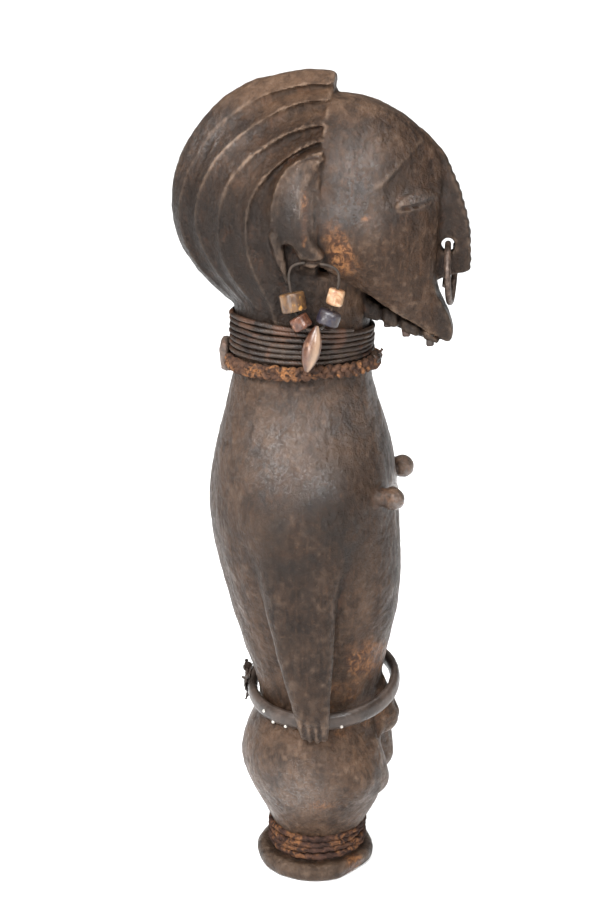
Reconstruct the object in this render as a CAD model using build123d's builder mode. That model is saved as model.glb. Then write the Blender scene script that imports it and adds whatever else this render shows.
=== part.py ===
"""A carved wooden fertility figure with its cord bindings, nose ring, waist hoop and bead ear loops.

Units are millimetres. +X is the way the face looks, +Y is the figure's left and +Z is up.
The origin is the centre of the round foot's underside.
"""

import os
from math import atan2, cos, pi, radians, sin, tan

from build123d import *

# ---------------------------------------------------------------- driving sizes
FOOT_RADIUS = 24.0
FOOT_THICKNESS = 7.0
ANKLE_X = 1.0
ANKLE_RADIUS = 17.3
NECK_X = -5.5
NECK_RADIUS = 25.3
NECK_BOTTOM = 211.0
NECK_CORD = 2.0
NECK_TOP = 238.0

CROWN_TOP = 320.0
HAIR_FRONT = 5.0
HAIR_PIVOT = (0.0, 268.0)

FIN_HALF = 3.2
NOSTRIL = (48.6, 257.6)
NOSTRIL_RADIUS = 2.7

NOSE_RING_RADIUS = 10.7
NOSE_WIRE = 2.4
NOSE_RING_PITCH = 3.0
NOSE_RING_TURNS = 1.3

HOOP_CENTRE = (3.3, 0.0, 79.3)
HOOP_RADIUS = 28.7
HOOP_HALF_THICK = 2.2
HOOP_HALF_TALL = 3.8
HOOP_TILT = (10.0, -3.5)

ARM_X = 2.0
EAR_Y = 29.5
LOBE_Z = 255.0
LOBE_BORE = 1.25
STRING = 1.0
STRING_LEAN = 0.13

# ---------------------------------------------------------------- section tables
# Height, back, front and half width of each level section through legs and trunk.
TRUNK = [
    (5.0, -16.6, 18.6, 17.6),
    (10.0, ANKLE_X - ANKLE_RADIUS, ANKLE_X + ANKLE_RADIUS, ANKLE_RADIUS),
    (18.0, ANKLE_X - ANKLE_RADIUS, ANKLE_X + ANKLE_RADIUS + 0.6, ANKLE_RADIUS + 0.4),
    (24.0, -19.6, 23.2, 21.5),
    (32.0, -23.8, 27.0, 26.5),
    (41.0, -27.8, 28.6, 30.6),
    (50.0, -29.6, 28.0, 32.8),
    (58.0, -28.8, 27.2, 33.0),
    (65.0, -25.6, 26.0, 31.0),
    (71.0, -22.6, 25.0, 25.8),
    (77.0, -21.8, 25.0, 24.2),
    (86.0, -24.6, 26.8, 24.6),
    (98.0, -28.8, 29.6, 26.4),
    (112.0, -32.9, 32.2, 29.2),
    (126.0, -36.4, 33.5, 32.2),
    (140.0, -39.4, 33.0, 35.0),
    (155.0, -41.3, 32.0, 37.0),
    (168.0, -40.4, 30.9, 37.2),
    (180.0, -38.4, 29.0, 35.0),
    (191.0, -35.6, 25.6, 31.8),
    (201.0, -33.2, 22.4, 28.4),
    (NECK_BOTTOM, NECK_X - NECK_RADIUS, NECK_X + NECK_RADIUS, NECK_RADIUS),
    (224.0, NECK_X - NECK_RADIUS, NECK_X + NECK_RADIUS, NECK_RADIUS),
    (NECK_TOP, NECK_X - NECK_RADIUS, NECK_X + NECK_RADIUS, NECK_RADIUS - 2.0),
]

# Height, middle x, half length, and inner and outer y of each level section through an arm.
ARM = [
    (152.0, ARM_X - 5.2, 16.0, 16.0, 37.0),
    (138.0, ARM_X - 3.6, 14.6, 20.0, 38.0),
    (124.0, ARM_X - 2.6, 12.8, 25.0, 38.6),
    (110.0, ARM_X - 1.8, 11.0, 29.6, 39.2),
    (97.0, ARM_X - 0.2, 9.2, 32.8, 40.4),
    (88.0, ARM_X + 0.9, 7.7, 34.2, 41.2),
    (80.0, ARM_X + 1.8, 6.6, 34.2, 41.2),
    (74.0, ARM_X + 2.6, 5.6, 32.6, 39.2),
    (70.5, ARM_X + 2.9, 4.8, 30.4, 37.0),
    (67.0, ARM_X + 3.0, 4.2, 26.6, 33.6),
    (64.0, ARM_X + 3.0, 3.6, 24.0, 30.0),
]

# x, bottom, top and half width of each upright section through the face.
FACE = [
    (-12.0, 236.0, 312.0, 25.0),
    (2.0, 238.0, 312.8, 27.0),
    (14.0, 241.0, 311.8, 26.0),
    (24.0, 237.0, 308.6, 23.0),
    (33.0, 231.0, 303.0, 18.6),
    (40.0, 226.2, 297.0, 12.8),
    (45.0, 222.6, 291.5, 6.6),
]

# The outer line of the hair crest seen from the side, from the front of the crown round to the nape.
HAIR_LINE = [
    (HAIR_FRONT, CROWN_TOP - 0.6),
    (-8.0, CROWN_TOP),
    (-25.3, 315.9),
    (-37.5, 307.6),
    (-47.0, 296.0),
    (-53.0, 283.6),
    (-54.8, 270.0),
    (-52.4, 257.6),
    (-46.0, 247.0),
    (-37.0, 237.6),
    (-27.0, 232.0),
]
# Size of each nested hair band against the outermost one, and half its width.
HAIR_BANDS = [(1.0, 4.5), (0.955, 10.0), (0.85, 16.5), (0.68, 22.2), (0.49, 26.0), (0.33, 28.0)]

# The front line of the nose fin, from the forehead down to the tip.
NOSE_LINE = [(39.0, 299.0), (46.0, 292.0), (51.4, 281.3), (54.8, 272.0), (57.2, 260.0), (57.2, 249.0)]
NOSE_NOTCHES = 12

# Lower edge of the thin lower jaw, from the throat to the chin.
JAW_BACK = (19.0, 231.4)
JAW_FRONT = (45.4, 220.8)
JAW_THICK = 3.0
JAW_HALF = 5.6
# Side outlines of the beak-like upper lip and of the thin wall of wood left in the open mouth.
LIP_LINE = [
    (38.0, 232.0),
    (44.0, 244.0),
    (46.4, 237.0),
    (48.5, 233.0),
    (51.0, 225.4),
    (50.8, 222.4),
    (49.0, 221.0),
    (46.4, 221.6),
]
LIP_HALF = 4.4
MOUTH_WALL = [(4.0, 236.0), (19.0, 232.0), (45.0, 222.2), (46.0, 226.0), (18.0, 246.0), (4.0, 246.0)]
MOUTH_WALL_HALF = 1.6
TOOTH_SPOTS = [(27.0, 230.9), (33.9, 227.7), (42.9, 224.2)]
TOOTH_RADIUS = 1.6
TOOTH_LENGTH = 4.4
TOOTH_Y = 3.6

# The side outline of an ear, a flat C with a blunt lobe, and its inner face, thickness and worn edge.
EAR_LINE = [
    (-6.4, 277.0),
    (-1.6, 283.6),
    (4.6, 277.0),
    (7.2, 263.0),
    (7.0, 252.6),
    (2.0, 251.0),
    (-3.4, 253.6),
    (-2.4, 266.0),
]
EAR_INNER_Y = 21.0
EAR_THICK = 9.8
EAR_EDGE = 1.6

BREAST = (30.4, 20.0, 164.5)
BREAST_RADIUS = 4.0
BREAST_NECK = 3.0
BOSS = (26.4, 0.0, 66.0)
BOSS_RADIUS = 8.0
BOSS_TOP = (22.6, 0.0, 78.0)
BOSS_TOP_RADIUS = 6.0
KNEE = (23.8, 10.5, 45.0)
KNEE_RADIUS = 7.5


def oval_points(centre_a, centre_b, half_a, half_b):
    """Eight points around an oval. They always start on the same side, so that lofts don't twist."""
    turns = [radians(45 * i) for i in range(8)]
    return [(centre_a + half_a * cos(t), centre_b + half_b * sin(t)) for t in turns]


# ---------------------------------------------------------------- the carved figure
with BuildPart() as trunk:
    for z, back, front, half in TRUNK:
        with BuildSketch(Plane.XY.offset(z)):
            with BuildLine():
                Spline(*oval_points((back + front) / 2, 0, (front - back) / 2, half), periodic=True)
            make_face()
    loft()

with BuildPart() as foot:
    with BuildSketch():
        Circle(FOOT_RADIUS)
    extrude(amount=FOOT_THICKNESS)
    fillet(foot.edges().group_by(Axis.Z)[-1], 3.0)
    fillet(foot.edges().group_by(Axis.Z)[0], 1.0)

with BuildPart() as right_arm:
    for z, middle, half, inner, outer in ARM:
        with BuildSketch(Plane.XY.offset(z)):
            with BuildLine():
                Spline(*oval_points(middle, -(inner + outer) / 2, half, (outer - inner) / 2), periodic=True)
            make_face()
    loft()

with BuildPart() as face:
    for x, bottom, top, half in FACE:
        with BuildSketch(Plane.YZ.offset(x)):
            with BuildLine():
                Spline(*oval_points(0, (bottom + top) / 2, half, (top - bottom) / 2), periodic=True)
            make_face()
    loft()

with BuildPart() as hair:
    for size, half in HAIR_BANDS:
        line = [
            (HAIR_PIVOT[0] + (x - HAIR_PIVOT[0]) * size, HAIR_PIVOT[1] + (z - HAIR_PIVOT[1]) * size)
            for x, z in HAIR_LINE
        ]
        with BuildSketch(Plane.XZ):
            with BuildLine():
                crest = Spline(*line)
                Polyline(crest @ 1, (HAIR_FRONT * size, line[-1][1]), crest @ 0)
            make_face()
        extrude(amount=half, both=True)

with BuildPart() as nose:
    with BuildSketch(Plane.XZ):
        with BuildLine():
            ridge = Spline(*NOSE_LINE)
            Polyline(ridge @ 1, (56.0, 248.0), (44.0, 244.6), (34.0, 250.0), (34.0, 292.0), ridge @ 0)
        make_face()
    extrude(amount=FIN_HALF, both=True)
    with BuildSketch(Plane.XZ):
        for i in range(NOSE_NOTCHES):
            spot = ridge @ (0.36 + 0.62 * i / (NOSE_NOTCHES - 1))
            with Locations((spot.X + 0.5, spot.Y)):
                Circle(1.0)
    extrude(amount=FIN_HALF + 1, both=True, mode=Mode.SUBTRACT)

with BuildPart() as jaw:
    with BuildSketch(Plane.XZ):
        with BuildLine():
            Polyline(*LIP_LINE, close=True)
        make_face()
    extrude(amount=LIP_HALF, both=True)
    fillet(jaw.edges().filter_by(Axis.Y).group_by(Axis.X)[-2:], 0.8)
    slope = atan2(JAW_FRONT[1] - JAW_BACK[1], JAW_FRONT[0] - JAW_BACK[0])
    rise = JAW_THICK / cos(slope)
    with BuildSketch(Plane.XZ):
        with BuildLine():
            Polyline(
                (4.0, 235.0),
                JAW_BACK,
                JAW_FRONT,
                (JAW_FRONT[0], JAW_FRONT[1] + rise),
                (JAW_BACK[0], JAW_BACK[1] + rise),
                (4.0, 240.0),
                close=True,
            )
        make_face()
    extrude(amount=JAW_HALF, both=True)
    with BuildSketch(Plane.XZ):
        with BuildLine():
            Polyline(*MOUTH_WALL, close=True)
        make_face()
    extrude(amount=MOUTH_WALL_HALF, both=True)

# An ear's outer layer is smaller than its root, like a worn edge.
with BuildPart() as right_ear:
    with BuildSketch(Plane.XZ.offset(EAR_INNER_Y)) as ear_root:
        with BuildLine():
            Polyline(*EAR_LINE, close=True)
        make_face()
        fillet(ear_root.vertices(), 1.5)
    extrude(amount=EAR_THICK)
    with BuildSketch(Plane.XZ.offset(EAR_INNER_Y + EAR_THICK)) as ear_edge:
        with BuildLine():
            Polyline(*EAR_LINE, close=True)
        make_face()
        offset(amount=-1.0, kind=Kind.INTERSECTION)
        fillet(ear_edge.vertices(), 0.8)
    extrude(amount=EAR_EDGE)

with BuildPart() as carved_figure:
    add(trunk)
    add(foot)
    add(right_arm)
    mirror(right_arm.part, about=Plane.XZ)
    add(face)
    add(hair)
    add(nose)
    add(jaw)
    add(right_ear)
    mirror(right_ear.part, about=Plane.XZ)
    # Breasts stand on short necks.
    for side in (-1, 1):
        with Locations((BREAST[0], BREAST[1] * side, BREAST[2])):
            Sphere(BREAST_RADIUS)
        with BuildSketch(Plane.YZ.offset(BREAST[0] - 10.4)):
            with Locations((BREAST[1] * side, BREAST[2] + 0.3)):
                Circle(BREAST_NECK)
        extrude(amount=10.0)
    # The carved boss below the belly and the knees beneath it.
    with Locations(BOSS):
        Sphere(BOSS_RADIUS)
    with Locations(BOSS_TOP):
        Sphere(BOSS_TOP_RADIUS)
    for side in (-1, 1):
        with Locations((KNEE[0], KNEE[1] * side, KNEE[2])):
            Sphere(KNEE_RADIUS)
    # Bore through the nose fin for the ring, and through each ear lobe for the string.
    with Locations(Plane(origin=(NOSTRIL[0], 0, NOSTRIL[1]), z_dir=(0, 1, 0))):
        Cylinder(NOSTRIL_RADIUS, 4 * FIN_HALF, mode=Mode.SUBTRACT)
    for side in (-1, 1):
        with Locations(Plane(origin=(1.5, EAR_Y * side, LOBE_Z), z_dir=(1, 0, 0))):
            Cylinder(LOBE_BORE, 24.0, mode=Mode.SUBTRACT)
carved_figure.part.label = "carved_figure"

# ---------------------------------------------------------------- peg teeth
with BuildPart() as whole_pegs:
    for side in (-1, 1):
        for x, z in TOOTH_SPOTS:
            root = Plane(origin=(x, TOOTH_Y * side, z), z_dir=(0.08, 0.15 * side, -1))
            with Locations(root.offset(TOOTH_LENGTH / 2)):
                Cone(TOOTH_RADIUS, TOOTH_RADIUS * 0.75, TOOTH_LENGTH)
    add(carved_figure, mode=Mode.SUBTRACT)
# Only the length below the jaw is kept, because the rest is buried in the wood.
with BuildPart() as jaw_pegs:
    add(whole_pegs.part.solids().sort_by(SortBy.VOLUME)[-2 * len(TOOTH_SPOTS):])
jaw_pegs.part.label = "jaw_pegs"

# ---------------------------------------------------------------- nose ring
# The wire stands across the fin, so the ring hangs in a plane square to the face, with overlapping ends.
ring_plane = Plane(
    origin=(NOSTRIL[0] - NOSE_RING_PITCH * 0.36, 0, NOSTRIL[1] - NOSE_RING_RADIUS),
    x_dir=(0, sin(radians(130)), cos(radians(130))),
    z_dir=(1, 0, 0),
)
level_coil = Helix(NOSE_RING_PITCH, NOSE_RING_PITCH * NOSE_RING_TURNS, NOSE_RING_RADIUS)
ring_path = ring_plane.location * level_coil
with BuildPart() as nose_ring:
    with BuildSketch(Plane(origin=ring_path @ 0, z_dir=ring_path % 0)):
        Circle(NOSE_WIRE / 2)
    sweep(path=ring_path)
nose_ring.part.label = "nose_ring"


def winding(centre_x, radius, bottom, strand, turns):
    """A close winding of round cord on a round core, as one ring with a ridge for each turn."""
    strands = [(centre_x + radius + strand / 2, bottom + strand * (i + 0.5)) for i in range(turns)]
    with BuildPart() as ring:
        with BuildSketch(Plane.XZ):
            with Locations((centre_x + radius + strand / 4, bottom + strand * turns / 2)):
                Rectangle(strand / 2, strand * turns)
            with Locations(*strands):
                Circle(strand * 0.52)
        revolve(axis=Axis((centre_x, 0, 0), (0, 0, 1)))
    return ring.part


# ---------------------------------------------------------------- neck bindings
with BuildPart() as neck_cord:
    add(winding(NECK_X, NECK_RADIUS + 0.5, 215.4, NECK_CORD, 7))
neck_cord.part.label = "neck_cord"

with BuildPart() as neck_braid:
    with Locations(Plane(origin=(NECK_X + 0.3, 0, 212.6), z_dir=(-0.02, 0.05, 1))):
        Torus(NECK_RADIUS + 2.6, 2.7)
neck_braid.part.label = "neck_braid"

with BuildPart() as nape_tie:
    with Locations((NECK_X - NECK_RADIUS - 4.4, -2.0, 214.0)):
        Box(3.4, 11.0, 12.0)
    fillet(nape_tie.edges().filter_by(Axis.X), 3.0)
nape_tie.part.label = "nape_tie"

with BuildPart() as throat_knot:
    with Locations((NECK_X + NECK_RADIUS + 3.4, -5.0, 215.2)):
        Sphere(2.6)
    with Locations(Plane(origin=(NECK_X + NECK_RADIUS + 5.0, -5.6, 217.0), z_dir=(0.6, -0.2, 0.8))):
        Cylinder(0.9, 5.0)
throat_knot.part.label = "throat_knot"

# ---------------------------------------------------------------- waist hoop
hoop_place = Location(HOOP_CENTRE, (*HOOP_TILT, 0))
with BuildPart() as level_hoop:
    with BuildSketch(Plane.XZ):
        with Locations((HOOP_RADIUS, 0)):
            Ellipse(HOOP_HALF_THICK, HOOP_HALF_TALL)
    revolve()
with BuildPart() as waist_hoop:
    add(hoop_place * level_hoop.part)
waist_hoop.part.label = "waist_hoop"

# The hoop's ends overlap at the back, where the hide is wrapped round them and torn into two flaps.
# Turn, width along the hoop, inner and outer distance from its centre, bottom and top of each layer.
LASHING = [
    (180.0, 9.0, 1.4, 3.2, -5.2, 5.2),
    (176.0, 6.0, 1.8, 5.4, 2.2, 7.0),
    (184.0, 6.0, 1.8, 5.4, -7.4, -2.6),
]
with BuildPart() as level_lashing:
    for turn, width, inner, outer, bottom, top in LASHING:
        with Locations(Location((0, 0, 0), (0, 0, turn))):
            with Locations((HOOP_RADIUS + (inner + outer) / 2, 0, (bottom + top) / 2)):
                Box(outer - inner, width, top - bottom)
    add(level_hoop, mode=Mode.SUBTRACT)
with BuildPart() as hoop_lashing:
    add(hoop_place * level_lashing.part.solids().sort_by(SortBy.VOLUME)[-1])
hoop_lashing.part.label = "hoop_lashing"

# Small bright tacks pressed into the hoop on the figure's right.
TACK_RADIUS = 0.7
TACK_TURNS = [(-132.0, 0.9), (-124.0, -2.6), (-112.5, -2.5), (-70.0, -1.8)]
with BuildPart() as level_tacks:
    for turn, height in TACK_TURNS:
        surface = HOOP_RADIUS + HOOP_HALF_THICK * (1 - (height / HOOP_HALF_TALL) ** 2) ** 0.5
        with Locations(Location((0, 0, 0), (0, 0, turn))):
            with Locations((surface, 0, height)):
                Sphere(TACK_RADIUS)
    add(level_hoop, mode=Mode.SUBTRACT)
with BuildPart() as hoop_tacks:
    add(hoop_place * level_tacks.part)
hoop_tacks.part.label = "hoop_tacks"

# ---------------------------------------------------------------- ankle binding
with BuildPart() as ankle_binding:
    add(winding(ANKLE_X, ANKLE_RADIUS + 0.4, 7.6, 2.8, 4))
ankle_binding.part.label = "ankle_binding"

with BuildPart() as ankle_tie:
    with Locations(Plane(origin=(-13.6, 12.0, 15.6), z_dir=(-0.75, 0.65, 0.0))):
        Cylinder(3.4, 4.0)
    fillet(ankle_tie.edges().filter_by(GeomType.CIRCLE), 1.2)
ankle_tie.part.label = "ankle_tie"

# ---------------------------------------------------------------- bead loops in the ears
# The route of the string in the loop's own plane: forward of the lobe's bore, and height.
STRING_ROUTE = [
    (5.0, 255.0),
    (11.0, 254.5),
    (12.3, 249.3),
    (9.9, 239.9),
    (7.3, 232.3),
    (0.6, 230.9),
    (-3.5, 237.3),
    (-5.3, 245.2),
    (-6.4, 251.4),
    (-4.4, 255.0),
    (-0.5, 255.2),
]
BEAD_BORE = 1.15
# Which run of the route a bead sits on, how far along it, its radius and its length.
WHITE_BEAD = (2, 0.62, 3.4, 6.0)
BLUE_BEAD = (3, 0.50, 4.5, 5.6)
RED_BEAD = (5, 0.50, 3.8, 5.2)
AMBER_BEAD = (6, 0.50, 4.7, 7.0)
SHELL_TOP = (4.4, 233.2)
SHELL_TIP = (0.9, 216.6)
SHELL_RADIUS = 3.4


def in_loop(x, z):
    """A point of the hanging loop, whose plane leans outward on the figure's right."""
    return Vector(x, -EAR_Y - (LOBE_Z - z) * STRING_LEAN, z)


def bend_radii(points):
    """The radius of each bend: 0.45 of its shorter run over the tangent of half its turn."""
    radii = []
    for before, here, after in zip(points, points[1:], points[2:]):
        first, second = here - before, after - here
        turn = radians(first.get_angle(second))
        radii.append(0.45 * min(first.length, second.length) / tan(turn / 2))
    return radii


route = [in_loop(x, z) for x, z in STRING_ROUTE]
string_radii = bend_radii(route)
print("ear string radii", [round(radius, 2) for radius in string_radii])
string_path = FilletPolyline(*route, radius=string_radii)
print("ear string length", round(string_path.length, 1))
with BuildPart() as right_ear_string:
    with BuildSketch(Plane(origin=string_path @ 0, z_dir=string_path % 0)):
        Circle(STRING / 2)
    sweep(path=string_path)
print("ear string volume ratio", right_ear_string.part.volume / (string_path.length * pi * STRING**2 / 4))


def bead(seat):
    """A bored drum-shaped bead on one straight run of the string."""
    run, along, radius, length = seat
    start, end = route[run], route[run + 1]
    with BuildPart() as turned:
        with BuildSketch(Plane.XZ):
            with Locations(((radius + BEAD_BORE) / 2, 0)):
                RectangleRounded(radius - BEAD_BORE, length, 1.0)
        revolve()
    return Plane(origin=start + (end - start) * along, z_dir=end - start).location * turned.part


with BuildPart() as right_white_bead:
    add(bead(WHITE_BEAD))
with BuildPart() as right_blue_bead:
    add(bead(BLUE_BEAD))
with BuildPart() as right_red_bead:
    add(bead(RED_BEAD))
with BuildPart() as right_amber_bead:
    add(bead(AMBER_BEAD))

with BuildPart() as spindle:
    length = (in_loop(*SHELL_TOP) - in_loop(*SHELL_TIP)).length
    belly = (SHELL_RADIUS, length * 0.42)
    shoulder = (SHELL_RADIUS * 0.86, length * 0.76)
    with BuildSketch(Plane.XZ):
        with BuildLine():
            side = Spline((0.9, 0), belly, shoulder, (1.2, length))
            Polyline(side @ 1, (0, length), (0, 0), side @ 0)
        make_face()
    revolve()
shell_axis = Plane(origin=in_loop(*SHELL_TIP), z_dir=in_loop(*SHELL_TOP) - in_loop(*SHELL_TIP))
with BuildPart() as right_shell:
    add(shell_axis.location * spindle.part)
    low_start, low_end = route[4], route[5]
    with Locations(Plane(origin=(low_start + low_end) / 2, z_dir=low_end - low_start)):
        Cylinder(BEAD_BORE, 12.0, mode=Mode.SUBTRACT)

ear_pieces = {
    "ear_string": right_ear_string,
    "white_bead": right_white_bead,
    "blue_bead": right_blue_bead,
    "red_bead": right_red_bead,
    "amber_bead": right_amber_bead,
    "shell_pendant": right_shell,
}
for run, along, radius, length in (WHITE_BEAD, BLUE_BEAD, RED_BEAD, AMBER_BEAD):
    middle = route[run] + (route[run + 1] - route[run]) * along
    print("bead at", middle, "axis", (route[run + 1] - route[run]).normalized())
print("shell hinge at", (low_start + low_end) / 2, "axis", (low_end - low_start).normalized())

# ---------------------------------------------------------------- write every piece
os.makedirs("parts", exist_ok=True)
for piece in (
    carved_figure, jaw_pegs, nose_ring, neck_cord, neck_braid, nape_tie, throat_knot,
    waist_hoop, hoop_lashing, hoop_tacks, ankle_binding, ankle_tie,
):
    print(piece.part.label, len(piece.part.solids()), round(piece.part.volume / 1000, 3), "ml")
    export_step(piece.part, f"parts/{piece.part.label}.step")
for name, piece in ear_pieces.items():
    piece.part.label = f"right_{name}"
    with BuildPart() as left_piece:
        mirror(piece.part, about=Plane.XZ)
    left_piece.part.label = f"left_{name}"
    print(name, len(piece.part.solids()), round(piece.part.volume, 1), "cubic mm")
    export_step(piece.part, f"parts/right_{name}.step")
    export_step(left_piece.part, f"parts/left_{name}.step")
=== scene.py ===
"""The look of a carved wooden fertility figure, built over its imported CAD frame.

Lengths inside the sculpting code are in millimetres, and become metres where a mesh is made.
+X is the way the face looks, +Y the figure's left and +Z up.
"""
from math import cos, pi, radians, sin, sqrt

import bmesh
import bpy
import numpy as np
from mathutils import Matrix, Vector


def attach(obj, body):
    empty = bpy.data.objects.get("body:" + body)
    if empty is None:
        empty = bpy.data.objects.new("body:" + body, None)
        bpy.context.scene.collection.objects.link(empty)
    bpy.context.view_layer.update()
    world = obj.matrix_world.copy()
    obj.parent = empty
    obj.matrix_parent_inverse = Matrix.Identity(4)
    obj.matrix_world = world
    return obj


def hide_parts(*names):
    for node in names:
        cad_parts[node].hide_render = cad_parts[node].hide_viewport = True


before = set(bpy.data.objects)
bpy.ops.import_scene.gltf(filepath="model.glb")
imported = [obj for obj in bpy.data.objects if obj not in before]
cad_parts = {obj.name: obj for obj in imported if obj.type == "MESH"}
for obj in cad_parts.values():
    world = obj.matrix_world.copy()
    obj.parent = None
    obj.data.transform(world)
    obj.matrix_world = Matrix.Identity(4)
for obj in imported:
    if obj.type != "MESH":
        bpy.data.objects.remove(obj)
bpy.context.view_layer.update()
MM = 0.001

# ------------------------------------------------------------------ shared sizes, in millimetres
# Two numbers are x and z, and three are x, y and z.
NECK_X = -5.5
NECK_RADIUS = 25.3
CORD_BOTTOM, CORD_RISE = 216.0, 1.98
BRAID_RADIUS, BRAID_Z = 28.0, 212.6
ANKLE_X, ANKLE_RADIUS, ANKLE_BOTTOM, ANKLE_RISE = 1.0, 18.9, 8.7, 2.65
NOSTRIL = (48.6, 257.6)
NOSTRIL_RADIUS = 2.7
EYE = (37.4, 274.7)
BREAST = (31.8, 20.0, 164.6)
EAR_Y = 29.5
LOBE_X, LOBE_Z, LOBE_BORE = 1.5, 255.0, 1.25
STRING_LEAN = 0.13
HOOP_CENTRE = (3.3, 0.0, 79.3)
HOOP_RADIUS = 28.7
HOOP_THICK, HOOP_TALL = 2.16, 3.75
HOOP_TILT = (10.0, -3.5)
FOOT_RADIUS, FOOT_HEIGHT = 23.9, 7.0
# The head and body are two meshes that meet under the neck cord.
SPLIT_Z = 222.0
FLOOR_HALF = 9000


# ------------------------------------------------------------------ small number tools
def table(rows, column, at, blur=3.0):
    """Read one column of a table whose first column is the position, with its corners rounded."""
    where = np.array([row[0] for row in rows], float)
    value = np.array([row[column] for row in rows], float)
    if where[0] > where[-1]:
        where, value = where[::-1], value[::-1]
    fine = np.arange(where[0] - 12, where[-1] + 12, 0.25)
    line = np.interp(fine, where, value)
    width = int(3 * blur / 0.25)
    kernel = np.exp(-0.5 * (np.arange(-width, width + 1) * 0.25 / blur) ** 2)
    kernel /= kernel.sum()
    line = np.convolve(np.pad(line, width, mode="edge"), kernel, mode="valid")
    return np.interp(at, fine, line)


def step_between(low, high, value):
    """0 below low, 1 above high, smooth between."""
    t = np.clip((value - low) / (high - low), 0, 1)
    return t * t * (3 - 2 * t)


def join(a, b, soft):
    """Smooth union of two distance fields."""
    h = np.clip(0.5 + 0.5 * (b - a) / soft, 0, 1)
    return b + (a - b) * h - soft * h * (1 - h)


def common(a, b, soft):
    """Smooth intersection of two distance fields."""
    return -join(-a, -b, soft)


def oval(u, v, centre_u, centre_v, half_u, half_v, power=2.0):
    """Distance to an oval column, measured along the ray from its axis."""
    du, dv = u - centre_u, v - centre_v
    rho = np.sqrt(du * du + dv * dv) + 1e-4
    q = (np.abs(du / half_u) ** power + np.abs(dv / half_v) ** power) ** (1 / power) + 1e-5
    return rho - rho / q


def ball(x, y, z, centre, radius):
    """Distance to a ball."""
    return np.sqrt((x - centre[0]) ** 2 + (y - centre[1]) ** 2 + (z - centre[2]) ** 2) - radius


def rod(x, y, z, start, end, r_start, r_end):
    """Distance to a tapering round rod."""
    a, b = np.array(start, float), np.array(end, float)
    along = b - a
    t = ((x - a[0]) * along[0] + (y - a[1]) * along[1] + (z - a[2]) * along[2]) / (along @ along)
    t = np.clip(t, 0, 1)
    dx, dy, dz = x - a[0] - t * along[0], y - a[1] - t * along[1], z - a[2] - t * along[2]
    return np.sqrt(dx * dx + dy * dy + dz * dz) - (r_start + (r_end - r_start) * t)


def smooth_line(points, times=2):
    """Round a polyline's corners by cutting them, keeping its ends."""
    line = np.array(points, float)
    for _ in range(times):
        a, b = line[:-1], line[1:]
        cut = np.empty((2 * len(a), line.shape[1]))
        cut[0::2], cut[1::2] = 0.75 * a + 0.25 * b, 0.25 * a + 0.75 * b
        line = np.vstack([line[:1], cut, line[-1:]])
    return line


def line_distance(u, v, points):
    """Distance from a flat grid's points to an open polyline."""
    best = np.full(u.shape, 1e9)
    line = np.array(points, float)
    for a, b in zip(line[:-1], line[1:]):
        d = b - a
        t = np.clip(((u - a[0]) * d[0] + (v - a[1]) * d[1]) / (d @ d + 1e-9), 0, 1)
        best = np.minimum(best, (u - a[0] - t * d[0]) ** 2 + (v - a[1] - t * d[1]) ** 2)
    return np.sqrt(best)


def outline_distance(u, v, points):
    """Distance to a closed outline, less than 0 inside it."""
    line = np.array(points, float)
    closed = np.vstack([line, line[:1]])
    inside = np.zeros(u.shape, bool)
    for a, b in zip(closed[:-1], closed[1:]):
        crosses = (a[1] > v) != (b[1] > v)
        inside ^= crosses & (u < (b[0] - a[0]) * (v - a[1]) / (b[1] - a[1] + 1e-12) + a[0])
    return np.where(inside, -1, 1) * line_distance(u, v, closed)


class Lattice:
    """Repeatable smooth noise between -1 and 1, read at any points."""

    def __init__(self, seed, size=24):
        self.size = size
        self.value = np.random.default_rng(seed).uniform(-1, 1, (size, size, size))

    def __call__(self, points, scale):
        p = np.asarray(points) / scale
        base = np.floor(p).astype(int)
        f = p - base
        f = f * f * (3 - 2 * f)
        total = np.zeros(len(p))
        for corner in range(8):
            bits = np.array([corner & 1, corner >> 1 & 1, corner >> 2 & 1])
            cell = (base + bits) % self.size
            weight = np.prod(np.where(bits, f, 1 - f), axis=1)
            total += weight * self.value[cell[:, 0], cell[:, 1], cell[:, 2]]
        return total


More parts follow.
